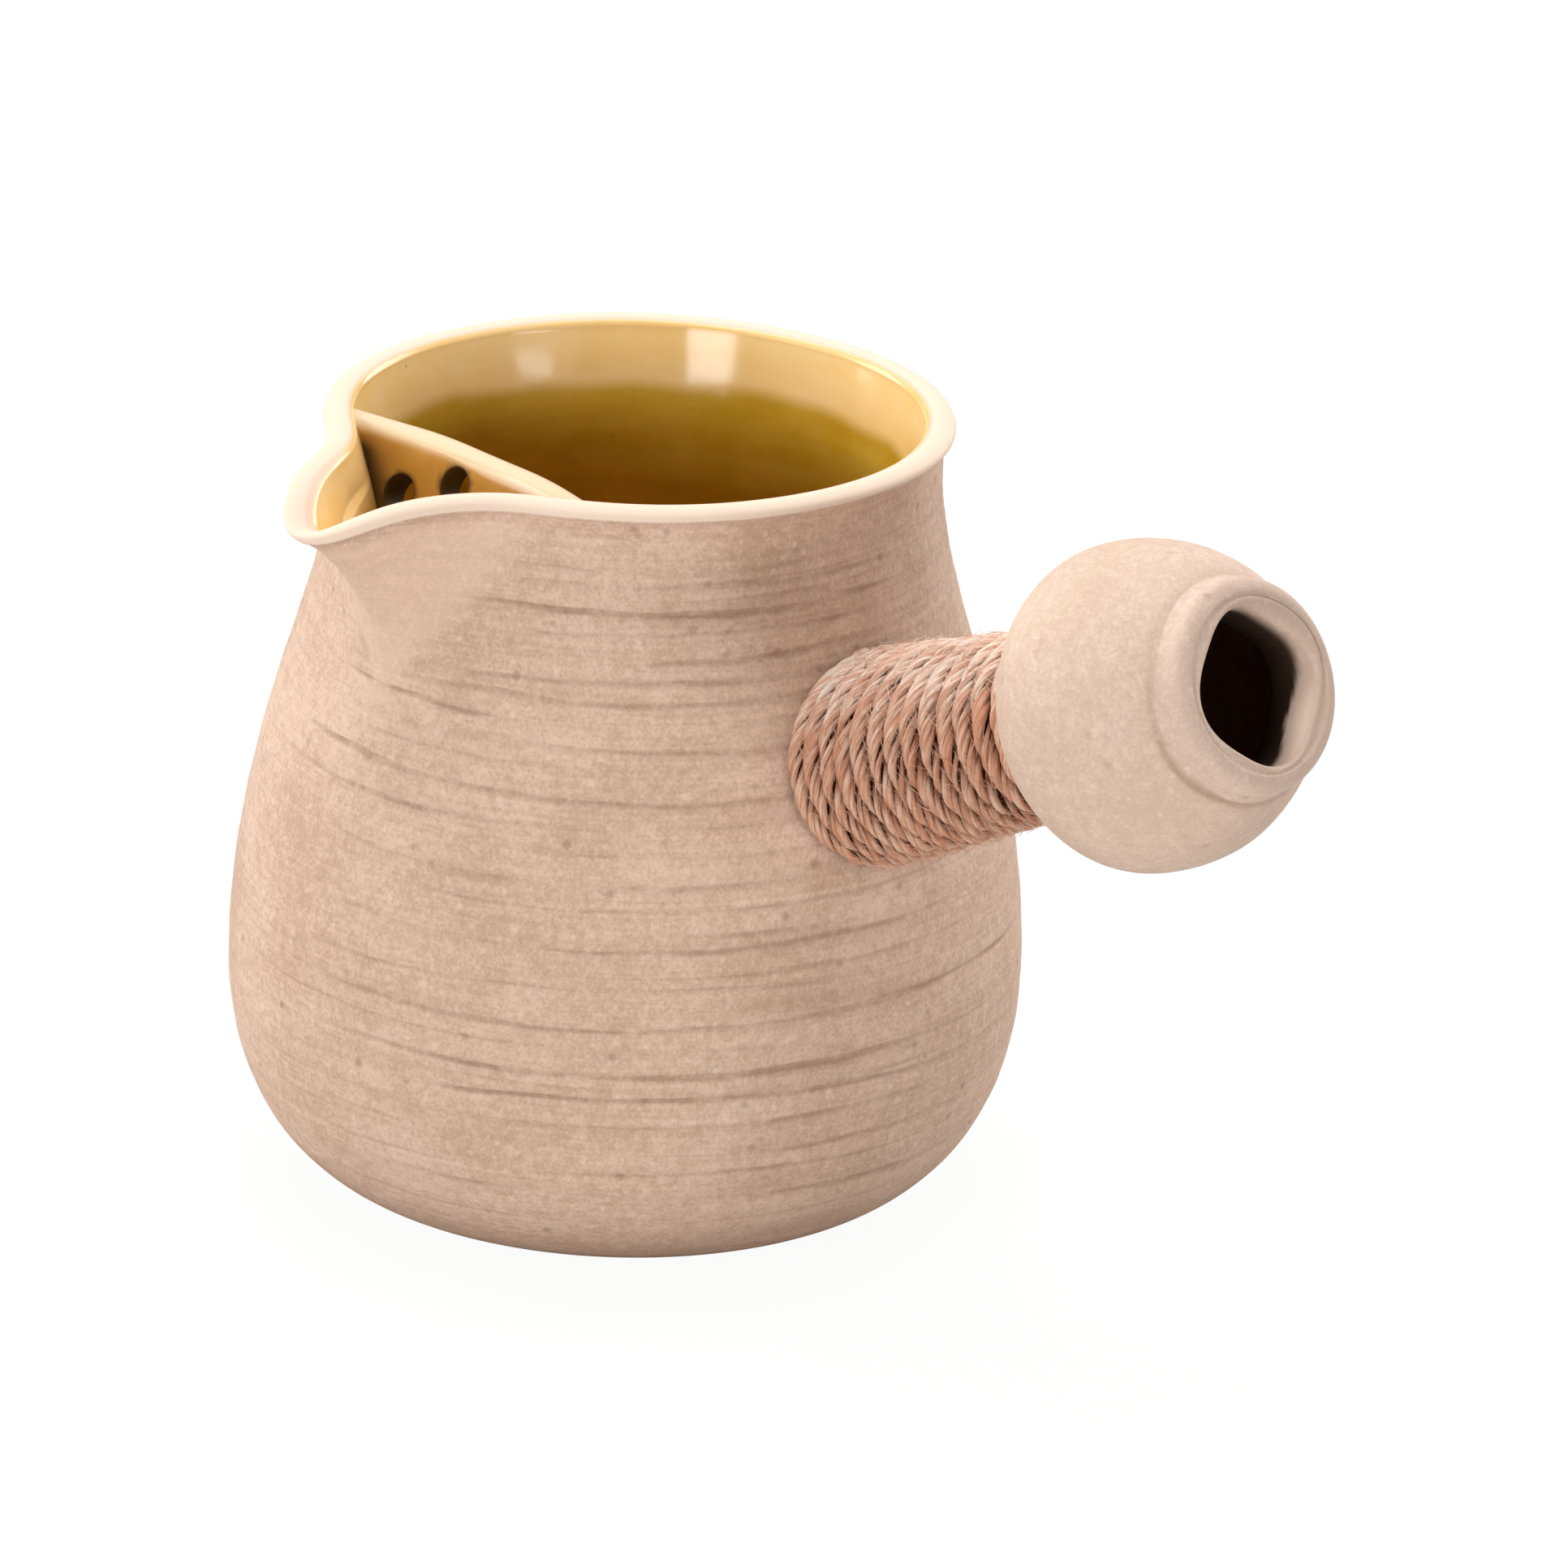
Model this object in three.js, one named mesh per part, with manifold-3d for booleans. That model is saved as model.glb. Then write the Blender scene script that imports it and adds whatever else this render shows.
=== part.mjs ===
// Side-handled stoneware teapot without a lid, with a pulled spout, a pierced strainer wall and a twine-bound handle
// that ends in a hollow bulb. Millimetres, +Z up. The origin is the centre of the flat base, the handle rises
// towards +X and the spout points along -Y.
import * as THREE from 'three';
import { mergeVertices } from 'three/addons/utils/BufferGeometryUtils.js';
import Module from 'manifold-3d';

const wasm = await Module();
wasm.setup();

// Driving dimensions: thrown body
const potHeight = 95.8;
const baseRadius = 26.5;
const bellyRadius = 47.5;
const bellyHeight = 27.7;
const cornerFullness = 2.15;
const shoulderRadius = 43.1;
const shoulderDrop = 37.8;
const shoulderSlope = -0.262;
const neckRadius = 35.95;
const neckDrop = 5.8;
const wallThickness = 2.7;
const floorThickness = 4.6;

// Driving dimensions: rolled lip
const lipRadius = 35.5;
const lipWidth = 3.6;
const lipHeight = 2.3;

// Driving dimensions: pulled spout
const spoutAngle = THREE.MathUtils.degToRad(-90);
const spoutReach = 17.6;
const spoutSpreadNear = THREE.MathUtils.degToRad(8.4);
const spoutSpreadFar = THREE.MathUtils.degToRad(10.3);
const spoutRoundness = 1.83;
const spoutDroop = 4.0;
const droopSpread = THREE.MathUtils.degToRad(4.6);
const throatDepth = 27;
const throatFall = 1.5;

// Driving dimensions: glaze and the gap that luted pieces keep
const glazeThickness = 0.7;
const glazeDrop = 0.9;
const jointGap = 0.3;

// Driving dimensions: strainer wall
const strainerTurn = THREE.MathUtils.degToRad(-3);
const strainerThickness = 3.4;
const strainerDistance = 26.2;
const strainerBulge = 2.4;
const strainerDrop = 1.4;
const strainerDepth = 30;
const strainerSlant = 13;
const holeDiameter = 4.3;
const holeRing = 8.6;
const holesInRing = 6;
const holeRingTurn = THREE.MathUtils.degToRad(79);
const holeCentreAside = -3.3;
const holeCentreDepth = 12.6;

// Driving dimensions: handle
const handleTilt = THREE.MathUtils.degToRad(23.33);
const handleAnchorHeight = 45.7;
const stemRootRadius = 10.6;
const stemTipRadius = 8.2;
const stemRootDistance = 44;
const stemWall = 3.0;

// Driving dimensions: bulb
const bulbRadius = 19.35;
const bulbDistance = 92.1;
const bulbBackLength = 13.5;
const bulbFrontLength = 21.3;
const bulbWall = 3.0;

// Driving dimensions: mouth collar on the bulb
const collarRadius = 12.6;
const collarStep = 0.6;
const collarHeight = 3.7;
const collarRound = 1.5;
const mouthRadius = 8.85;
const mouthCorners = 4;
const mouthCornerRise = 0.44;
const mouthCornerTurn = THREE.MathUtils.degToRad(6.8);
const mouthShift = 0.36;
const mouthShiftTurn = THREE.MathUtils.degToRad(-128);

// Driving dimensions: twine winding
const twineDiameter = 2.0;
const twineTurns = 12.5;

// Mesh fineness: counts of steps, not sizes
const turnSteps = 44;
const spoutSteps = 18;
const cornerSteps = 6;
const plainSteps = 4;
const throatSteps = 8;
const lipSteps = 6;
const roundSteps = 40;
const twineSides = 6;
const twineStepsPerTurn = 24;

// Names worked out from the dimensions above
const shoulderHeight = potHeight - shoulderDrop;
const neckHeight = potHeight - neckDrop;
const throatFoot = potHeight - throatDepth;
const lipFoot = potHeight - lipHeight - wallThickness / 2;
const glazeTop = potHeight - glazeDrop;
const handleAxis = new THREE.Vector3(Math.cos(handleTilt), 0, Math.sin(handleTilt));
const handleSide = new THREE.Vector3(0, 1, 0);
const handleUp = new THREE.Vector3(-Math.sin(handleTilt), 0, Math.cos(handleTilt));
const handleOrigin = new THREE.Vector3(0, 0, handleAnchorHeight);

const clay = new THREE.MeshStandardMaterial({ color: 0xd2b298, roughness: 0.9, metalness: 0 });
const paleClay = new THREE.MeshStandardMaterial({ color: 0xe1c8b4, roughness: 0.85, metalness: 0 });
const amberGlaze = new THREE.MeshStandardMaterial({ color: 0xa87522, roughness: 0.15, metalness: 0 });
const twine = new THREE.MeshStandardMaterial({ color: 0xc8967d, roughness: 0.95, metalness: 0 });

// A cubic between two heights with the radius and the slope given at both.
function blendRadius(z, z0, r0, slope0, z1, r1, slope1) {
  const span = z1 - z0;
  const t = (z - z0) / span;
  const hermite = (2 * t ** 3 - 3 * t ** 2 + 1) * r0 + (3 * t ** 2 - 2 * t ** 3) * r1;
  return hermite + (t ** 3 - 2 * t ** 2 + t) * span * slope0 + (t ** 3 - t ** 2) * span * slope1;
}

// Outer radius of the thrown wall: a full rounded corner up to the belly, then an S up to the neck.
function outerRadius(z) {
  if (z <= bellyHeight) {
    const level = Math.min(1, Math.max(0, 1 - z / bellyHeight));
    return baseRadius + (bellyRadius - baseRadius) * (1 - level ** cornerFullness) ** (1 / cornerFullness);
  }
  if (z <= shoulderHeight) {
    return blendRadius(z, bellyHeight, bellyRadius, 0, shoulderHeight, shoulderRadius, shoulderSlope);
  }
  if (z <= neckHeight) {
    return blendRadius(z, shoulderHeight, shoulderRadius, shoulderSlope, neckHeight, neckRadius, 0);
  }
  return neckRadius;
}

// Difference of two angles, between -180 and 180 degrees.
function turnBetween(a, b) {
  return Math.atan2(Math.sin(a - b), Math.cos(a - b));
}

// How far the wall is pulled out at an angle and height: all of the reach at the lip, none below the throat. The side
// near the handle is the steeper one.
function spoutPull(angle, z) {
  const below = Math.min(1, Math.max(0, (potHeight - z) / throatDepth));
  const turn = turnBetween(angle, spoutAngle);
  const aside = Math.abs(turn) / (turn > 0 ? spoutSpreadNear : spoutSpreadFar);
  return spoutReach * (1 - below) ** throatFall * Math.exp(-0.5 * aside ** spoutRoundness);
}

// How far the lip sinks at the spout's tip.
function spoutSink(angle, z) {
  const below = Math.min(1, Math.max(0, (potHeight - z) / throatDepth));
  const aside = turnBetween(angle, spoutAngle) / droopSpread;
  return spoutDroop * (1 - below) * Math.exp(-0.5 * aside ** 2);
}

// A point of the wall: the middle of the wall at this angle, moved by offset along the wall's normal in plan.
function wallPoint(angle, middle, offset, z) {
  const step = 1e-3;
  const radius = middle + spoutPull(angle, z);
  const slope = (spoutPull(angle + step, z) - spoutPull(angle - step, z)) / (2 * step);
  const out = new THREE.Vector2(Math.cos(angle), Math.sin(angle));
  const along = new THREE.Vector2(-Math.sin(angle), Math.cos(angle));
  const normal = out.clone().multiplyScalar(radius).addScaledVector(along, -slope).normalize();
  const point = out.multiplyScalar(radius).addScaledVector(normal, offset);
  return new THREE.Vector3(point.x, point.y, z - spoutSink(angle, z));
}

// The angles of the wall's columns: even round the pot, and closer together across the spout.
function wallAngles() {
  const half = 3 * spoutSpreadFar;
  const angles = [];
  for (let i = 0; i < spoutSteps; i += 1) {
    angles.push(spoutAngle - half + (2 * half * i) / spoutSteps);
  }
  for (let i = 0; i < turnSteps; i += 1) {
    angles.push(spoutAngle + half + ((2 * Math.PI - 2 * half) * i) / turnSteps);
  }
  return angles;
}

// Heights from the belly to the top of the wall, closer together along the spout's throat.
function wallHeights(high) {
  const heights = [];
  for (let i = 0; i < plainSteps; i += 1) {
    heights.push(bellyHeight + ((throatFoot - bellyHeight) * i) / plainSteps);
  }
  for (let i = 0; i <= throatSteps; i += 1) {
    heights.push(throatFoot + ((high - throatFoot) * i) / throatSteps);
  }
  return heights;
}

// A closed mesh from rows of points: each row is a ring, and the first and last row are single points or open rings
// that join each other when the sheet closes on itself.
function ringsToGeometry(rows, closed) {
  const positions = [];
  const starts = [];
  const indices = [];
  for (const row of rows) {
    starts.push(positions.length / 3);
    for (const p of row) {
      positions.push(p.x, p.y, p.z);
    }
  }
  const joins = closed ? rows.length : rows.length - 1;
  for (let j = 0; j < joins; j += 1) {
    const lower = rows[j];
    const next = (j + 1) % rows.length;
    const upper = rows[next];
    const count = Math.max(lower.length, upper.length);
    for (let i = 0; i < count; i += 1) {
      const a = starts[j] + (i % lower.length);
      const b = starts[j] + ((i + 1) % lower.length);
      const c = starts[next] + ((i + 1) % upper.length);
      const d = starts[next] + (i % upper.length);
      if (lower.length > 1) {
        indices.push(a, b, d);
      }
      if (upper.length > 1) {
        indices.push(b, c, d);
      }
    }
  }
  const geometry = new THREE.BufferGeometry();
  geometry.setAttribute('position', new THREE.Float32BufferAttribute(positions, 3));
  geometry.setIndex(indices);
  return geometry;
}

// The outer wall's rows from the base up to the neck, each moved out by extra.
function outerRows(angles, extra) {
  const rows = [];
  for (let i = 0; i <= cornerSteps; i += 1) {
    const t = (i / cornerSteps) * (Math.PI / 2);
    const z = bellyHeight * (1 - Math.cos(t)) * 0.999;
    rows.push(z);
  }
  const upper = wallHeights(neckHeight).slice(1);
  return rows.concat(upper).map((z) => {
    const middle = outerRadius(z) - wallThickness / 2;
    return angles.map((angle) => wallPoint(angle, middle, wallThickness / 2 + extra, z));
  });
}

// The inner wall's rows from under the lip, or from the glaze's edge, down to the floor, each moved in by extra,
// and by up to twice as much in the spout, where the wall leans out.
function innerRows(angles, extra, glazed) {
  const floor = floorThickness + extra;
  const heights = wallHeights(lipFoot).reverse();
  if (glazed) {
    heights.unshift(glazeTop);
  }
  for (let i = cornerSteps - 1; i >= 0; i -= 1) {
    const t = (i / cornerSteps) * (Math.PI / 2);
    heights.push(floor + (bellyHeight - floor) * (1 - Math.cos(t)));
  }
  return heights.map((z) => {
    const level = (z - floor) / (bellyHeight - floor);
    const outerZ = z < bellyHeight ? level * bellyHeight : z;
    const middle = outerRadius(outerZ) - wallThickness / 2;
    return angles.map((angle) => {
      const ease = 1 + spoutPull(angle, z) / spoutReach;
      return wallPoint(angle, middle, -wallThickness / 2 - extra * ease, z);
    });
  });
}

// The lip's rows: a flattened round from outside, over the top, to inside.
function lipRows(angles) {
  const rows = [];
  for (let i = 0; i <= lipSteps; i += 1) {
    const turn = THREE.MathUtils.degToRad(-50 + (250 * i) / lipSteps);
    const z = potHeight - (lipHeight / 2) * (1 - Math.sin(turn));
    rows.push(angles.map((angle) => wallPoint(angle, lipRadius, (lipWidth / 2) * Math.cos(turn), z)));
  }
  return rows;
}


// Thrown wall with floor, rolled lip and pulled spout in one piece.
function makePotBody() {
  const angles = wallAngles();
  const rows = [[new THREE.Vector3(0, 0, 0)]];
  rows.push(...outerRows(angles, 0));
  rows.push(...lipRows(angles));
  rows.push(...innerRows(angles, 0, false));
  rows.push([new THREE.Vector3(0, 0, floorThickness)]);
  return ringsToGeometry(rows, false);
}

// A solid of everything inside the outer wall and a clearance, up to above the lip.
function bodyEnvelope(clearance) {
  const angles = wallAngles();
  const rows = [[new THREE.Vector3(0, 0, -clearance)]];
  rows.push(...outerRows(angles, clearance));
  const top = rows[rows.length - 1];
  rows.push(top.map((p) => new THREE.Vector3(p.x, p.y, potHeight + wallThickness)));
  rows.push([new THREE.Vector3(0, 0, potHeight + wallThickness)]);
  return ringsToGeometry(rows, false);
}

// A solid of the space inside the glazed wall, less a clearance, up to above the lip.
function cavitySolid(clearance) {
  const angles = wallAngles();
  const above = potHeight + lipHeight;
  const rows = innerRows(angles, clearance, true).reverse();
  rows.unshift([new THREE.Vector3(0, 0, floorThickness + clearance)]);
  rows.push(rows[rows.length - 1].map((p) => new THREE.Vector3(p.x, p.y, above)));
  rows.push([new THREE.Vector3(0, 0, above)]);
  return ringsToGeometry(rows, false);
}

// The coat of glaze over the floor, the inner wall and the spout's trough, as a thin cup.
function makeGlazeLining() {
  const angles = wallAngles();
  const outside = jointGap;
  const inside = jointGap + glazeThickness;
  const rows = [[new THREE.Vector3(0, 0, floorThickness + outside)]];
  rows.push(...innerRows(angles, outside, true).reverse());
  rows.push(...innerRows(angles, inside, true));
  rows.push([new THREE.Vector3(0, 0, floorThickness + inside)]);
  return ringsToGeometry(rows, false);
}

function toSolid(geometry) {
  const bare = geometry.clone();
  bare.deleteAttribute('normal');
  bare.deleteAttribute('uv');
  const merged = mergeVertices(bare, 1e-5);
  const mesh = new wasm.Mesh({
    numProp: 3,
    vertProperties: Float32Array.from(merged.attributes.position.array),
    triVerts: Uint32Array.from(merged.index.array),
  });
  return new wasm.Manifold(mesh);
}

function toGeometry(solid) {
  const mesh = solid.getMesh();
  const geometry = new THREE.BufferGeometry();
  geometry.setAttribute('position', new THREE.Float32BufferAttribute(mesh.vertProperties, 3));
  geometry.setIndex(Array.from(mesh.triVerts));
  return geometry;
}

// Directions across and along the strainer wall, which stands a little askew to the spout.
const strainerAngle = spoutAngle + strainerTurn;
const strainerOut = new THREE.Vector3(Math.cos(strainerAngle), Math.sin(strainerAngle), 0);
const strainerAlong = new THREE.Vector3(-Math.sin(strainerAngle), Math.cos(strainerAngle), 0);
const strainerTop = potHeight - strainerDrop;
const strainerHalfChord = Math.sqrt(lipRadius ** 2 - strainerDistance ** 2);

// How far the strainer's middle surface stands from the pot's axis: it bows inwards at the top and leans out below.
function strainerStand(aside, depth) {
  const down = depth / strainerDepth;
  const bow = strainerBulge * (1 - (aside / strainerHalfChord) ** 2) * (1 - down);
  return strainerDistance - bow + strainerSlant * down ** 1.3;
}

// The strainer before it is trimmed: a round-topped section swept from side to side.
function strainerSlab() {
  const half = strainerThickness / 2;
  const reach = strainerHalfChord * 1.4;
  const stations = 14;
  const section = [];
  for (let i = 0; i <= 6; i += 1) {
    const turn = (Math.PI * i) / 6;
    section.push([half * Math.cos(turn), half - half * Math.sin(turn)]);
  }
  for (let i = 1; i <= 7; i += 1) {
    section.push([-half, half + ((strainerDepth - half) * i) / 7]);
  }
  for (let i = 7; i >= 1; i -= 1) {
    section.push([half, half + ((strainerDepth - half) * i) / 7]);
  }
  const rows = [];
  for (let s = 0; s <= stations; s += 1) {
    const aside = reach - (2 * reach * s) / stations;
    rows.push(section.map(([offset, depth]) => {
      const stand = strainerStand(aside, depth) + offset;
      const point = strainerOut.clone().multiplyScalar(stand).addScaledVector(strainerAlong, aside);
      point.z = strainerTop - depth;
      return point;
    }));
  }
  const middle = (row) => [row.reduce((sum, p) => sum.add(p), new THREE.Vector3()).divideScalar(row.length)];
  rows.unshift(middle(rows[0]));
  rows.push(middle(rows[rows.length - 1]));
  return ringsToGeometry(rows, false);
}

// A drill through the strainer at a place given aside from its middle and below its top.
function strainerDrill(aside, depth) {
  const lean = Math.atan((strainerStand(aside, depth + 1) - strainerStand(aside, depth - 1)) / 2);
  const axis = strainerOut.clone().multiplyScalar(Math.cos(lean));
  axis.z = Math.sin(lean);
  const length = strainerThickness * 4;
  const drill = new THREE.CylinderGeometry(holeDiameter / 2, holeDiameter / 2, length, 16);
  drill.applyQuaternion(new THREE.Quaternion().setFromUnitVectors(new THREE.Vector3(0, 1, 0), axis));
  const place = strainerOut.clone().multiplyScalar(strainerStand(aside, depth));
  place.addScaledVector(strainerAlong, aside);
  drill.translate(place.x, place.y, strainerTop - depth);
  return drill;
}

// Pierced wall across the spout's root, trimmed to the glazed wall.
function makeStrainerWall() {
  const clearance = 3 * jointGap + glazeThickness;
  const cavity = toSolid(cavitySolid(clearance));
  let wall = toSolid(strainerSlab()).intersect(cavity);
  wall = wall.subtract(toSolid(strainerDrill(holeCentreAside, holeCentreDepth)));
  for (let i = 0; i < holesInRing; i += 1) {
    const turn = (2 * Math.PI * i) / holesInRing + holeRingTurn;
    const aside = holeCentreAside + holeRing * Math.cos(turn);
    const depth = holeCentreDepth - holeRing * Math.sin(turn);
    wall = wall.subtract(toSolid(strainerDrill(aside, depth)));
  }
  return toGeometry(wall);
}

// A point of the handle: distance along its axis, radius, and angle round it from the side towards its top.
function handlePoint(distance, radius, angle) {
  return handleOrigin.clone()
    .addScaledVector(handleAxis, distance)
    .addScaledVector(handleSide, radius * Math.cos(angle))
    .addScaledVector(handleUp, radius * Math.sin(angle));
}

// A closed ring of section points turned round the handle's axis. The section runs so that faces point outwards.
function turnedOnHandle(section, steps) {
  const rows = section.map(([distance, radius]) => {
    const row = [];
    for (let i = 0; i < steps; i += 1) {
      row.push(handlePoint(distance, radius, (2 * Math.PI * i) / steps));
    }
    return row;
  });
  return ringsToGeometry(rows, true);
}

// Distance along the handle where the bulb's back has a given radius.
function bulbBack(radius) {
  return bulbDistance - bulbBackLength * Math.sqrt(1 - (radius / bulbRadius) ** 2);
}

// Distance along the handle where the bulb's front has a given radius.
function bulbFront(radius) {
  return bulbDistance + bulbFrontLength * Math.sqrt(1 - (radius / bulbRadius) ** 2);
}

const stemEnd = bulbBack(stemTipRadius) - jointGap;

function stemRadius(distance) {
  const t = (distance - stemRootDistance) / (stemEnd - stemRootDistance);
  return stemRootRadius + (stemTipRadius - stemRootRadius) * t;
}

// Hollow tapering stem, cut to the pot's wall.
function makeHandleStem() {
  const start = stemRootDistance - 2 * stemWall;
  const steps = 4;
  const section = [];
  for (let i = 0; i <= steps; i += 1) {
    const distance = start + ((stemEnd - start) * i) / steps;
    section.push([distance, stemRadius(distance)]);
  }
  for (let i = steps; i >= 0; i -= 1) {
    const distance = start + ((stemEnd - start) * i) / steps;
    section.push([distance, stemRadius(distance) - stemWall]);
  }
  const stem = toSolid(turnedOnHandle(section, roundSteps));
  return toGeometry(stem.subtract(toSolid(bodyEnvelope(jointGap))));
}

const collarFoot = collarRadius + collarStep;
const collarStart = bulbFront(collarFoot) + jointGap;
const stemBore = stemTipRadius - stemWall;
const bulbOpening = mouthRadius + mouthCornerRise + mouthShift;

// Hollow bulb, open towards the stem and towards the collar.
function makeHandleBulb() {
  const section = [];
  const backTurn = Math.asin(stemTipRadius / bulbRadius);
  const frontTurn = Math.PI - Math.asin(collarFoot / bulbRadius);
  const steps = 12;
  for (let i = 0; i <= steps; i += 1) {
    const turn = backTurn + ((frontTurn - backTurn) * i) / steps;
    const length = turn < Math.PI / 2 ? bulbBackLength : bulbFrontLength;
    section.push([bulbDistance - length * Math.cos(turn), bulbRadius * Math.sin(turn)]);
  }
  const innerRadius = bulbRadius - bulbWall;
  const innerBack = Math.asin(stemBore / innerRadius);
  const innerFront = Math.PI - Math.asin(bulbOpening / innerRadius);
  for (let i = 8; i >= 0; i -= 1) {
    const turn = innerBack + ((innerFront - innerBack) * i) / 8;
    const length = (turn < Math.PI / 2 ? bulbBackLength : bulbFrontLength) - bulbWall;
    section.push([bulbDistance - length * Math.cos(turn), innerRadius * Math.sin(turn)]);
  }
  return turnedOnHandle(section, roundSteps);
}

// Radius of the hand-cut mouth at an angle round the handle: a circle with soft corners, a little off centre.
function mouthEdge(angle) {
  const corners = mouthCornerRise * Math.cos(mouthCorners * (angle - mouthCornerTurn));
  return mouthRadius + corners + mouthShift * Math.cos(angle - mouthShiftTurn);
}

// Thick rounded collar round the bulb's mouth.
function makeMouthCollar() {
  const end = collarStart + collarHeight;
  const inner = (angle, retreat) => mouthEdge(angle) + retreat;
  const outline = [
    [collarStart, () => collarFoot],
    [collarStart + collarHeight * 0.3, () => collarRadius],
    [end - collarRound, () => collarRadius],
    [end - collarRound * 0.3, () => collarRadius - collarRound * 0.3],
    [end, () => collarRadius - collarRound],
    [end, (angle) => inner(angle, collarRound * 0.5)],
    [end - collarRound * 0.5, (angle) => inner(angle, 0)],
    [collarStart, (angle) => inner(angle, 0)],
  ];
  const rows = outline.map(([distance, radius]) => {
    const row = [];
    for (let i = 0; i < roundSteps; i += 1) {
      const angle = (2 * Math.PI * i) / roundSteps;
      row.push(handlePoint(distance, radius(angle), angle));
    }
    return row;
  });
  return ringsToGeometry(rows, true);
}

// Distance along the handle where a line at this radius and angle leaves the pot's wall.
function wallDistance(radius, angle) {
  let low = 0;
  let high = bulbDistance;
  for (let i = 0; i < 40; i += 1) {
    const middle = (low + high) / 2;
    const p = handlePoint(middle, radius, angle);
    const inside = Math.hypot(p.x, p.y) < outerRadius(p.z);
    low = inside ? middle : low;
    high = inside ? high : middle;
  }
  return high;
}

// The twine's middle line, from the top of the stem's root: the first turn follows the saddle where the stem meets
// the wall, the last lies against the bulb's flat back, and the turns between share the room evenly.
function twineRoute() {
  const half = twineDiameter / 2;
  const lift = half + jointGap;
  const rootRadius = stemRootRadius + lift;
  const endRadius = stemTipRadius + lift;
  const lean = Math.atan2(bulbBack(endRadius + half) - bulbBack(endRadius - half), twineDiameter);
  const last = bulbBack(endRadius) - (half + jointGap) / Math.cos(lean);
  const points = [];
  const count = twineTurns * twineStepsPerTurn;
  for (let i = 0; i <= count; i += 1) {
    const angle = Math.PI / 2 + (2 * Math.PI * i) / twineStepsPerTurn;
    const first = wallDistance(rootRadius + half, angle) + half + jointGap;
    const t = i / count;
    const distance = first + (last - first) * t;
    points.push(handlePoint(distance, stemRadius(distance) + lift, angle));
  }
  const runOut = (from, towards) => from.clone().addScaledVector(from.clone().sub(towards).normalize(), twineDiameter);
  points.unshift(runOut(points[0], points[1]));
  points.push(runOut(points[points.length - 1], points[points.length - 2]));
  return points;
}

// The least distance between turns of the twine, less its diameter.
function leastTwineGap(points) {
  let least = Infinity;
  const apart = Math.round(twineStepsPerTurn / 2);
  for (let i = 0; i < points.length; i += 1) {
    for (let j = i + apart; j < points.length; j += 1) {
      least = Math.min(least, points[i].distanceTo(points[j]));
    }
  }
  return least - twineDiameter;
}

// One unbroken tube along the twine's route.
function makeTwineWrap() {
  const points = twineRoute();
  const rows = points.map((p, i) => {
    const before = points[Math.max(0, i - 1)];
    const after = points[Math.min(points.length - 1, i + 1)];
    const along = after.clone().sub(before).normalize();
    const onAxis = handleOrigin.clone().addScaledVector(handleAxis, p.clone().sub(handleOrigin).dot(handleAxis));
    const outwards = p.clone().sub(onAxis).normalize();
    const across = along.clone().cross(outwards).normalize();
    const up = across.clone().cross(along);
    const ring = [];
    for (let s = 0; s < twineSides; s += 1) {
      const turn = (2 * Math.PI * (s + 0.5)) / twineSides;
      ring.push(p.clone()
        .addScaledVector(up, (twineDiameter / 2) * Math.cos(turn))
        .addScaledVector(across, (twineDiameter / 2) * Math.sin(turn)));
    }
    return ring;
  });
  rows.unshift([points[0]]);
  rows.push([points[points.length - 1]]);
  console.log(`least gap between the twine's turns: ${leastTwineGap(points).toFixed(3)} mm`);
  return ringsToGeometry(rows, false);
}

function addPiece(group, name, geometry, material) {
  const flat = geometry.toNonIndexed();
  flat.computeVertexNormals();
  const mesh = new THREE.Mesh(flat, material.clone());
  mesh.name = name;
  group.add(mesh);
}

const teapot = new THREE.Group();
addPiece(teapot, 'pot_body', makePotBody(), clay);
addPiece(teapot, 'glaze_lining', makeGlazeLining(), amberGlaze);
addPiece(teapot, 'strainer_wall', makeStrainerWall(), amberGlaze);
addPiece(teapot, 'handle_stem', makeHandleStem(), clay);
addPiece(teapot, 'handle_bulb', makeHandleBulb(), paleClay);
addPiece(teapot, 'mouth_collar', makeMouthCollar(), paleClay);
addPiece(teapot, 'twine_wrap', makeTwineWrap(), twine);

export default teapot;
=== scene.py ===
"""Looks of a side-handled stoneware teapot: thrown clay, amber glaze and a twine-bound handle."""

import math
from functools import partialmethod

import bpy
import numpy as np
from bpy.props import FloatProperty, IntProperty, PointerProperty
from mathutils import Matrix, Vector


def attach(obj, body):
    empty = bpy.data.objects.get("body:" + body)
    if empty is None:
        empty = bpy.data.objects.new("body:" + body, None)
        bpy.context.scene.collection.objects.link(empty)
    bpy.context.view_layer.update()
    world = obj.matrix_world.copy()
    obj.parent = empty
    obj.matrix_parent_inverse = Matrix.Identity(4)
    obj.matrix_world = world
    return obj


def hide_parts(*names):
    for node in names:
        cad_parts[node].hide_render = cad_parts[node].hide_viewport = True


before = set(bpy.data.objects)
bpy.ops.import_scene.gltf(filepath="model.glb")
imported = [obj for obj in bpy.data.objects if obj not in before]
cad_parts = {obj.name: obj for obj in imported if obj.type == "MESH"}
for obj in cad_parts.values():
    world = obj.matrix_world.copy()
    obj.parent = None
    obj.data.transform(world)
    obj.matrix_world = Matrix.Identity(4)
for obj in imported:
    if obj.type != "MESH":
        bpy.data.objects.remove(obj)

bl_info = {
    "name": "Side-handled teapot",
    "version": (1, 0, 0),
    "blender": (4, 5, 0),
    "location": "View3D > Sidebar > Teapot",
    "description": "Builds the clay, the glaze and the twine of a side-handled teapot",
    "category": "Add Mesh",
}

MM = 0.001
FULL_TURN = 2 * math.pi
UP = np.array([0, 0, 1.0])


# Settings

def length(name, description, default):
    """A length property in metres, with its default given in millimetres."""
    return FloatProperty(name=name, description=description, default=default * MM, unit="LENGTH", precision=5)


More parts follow.
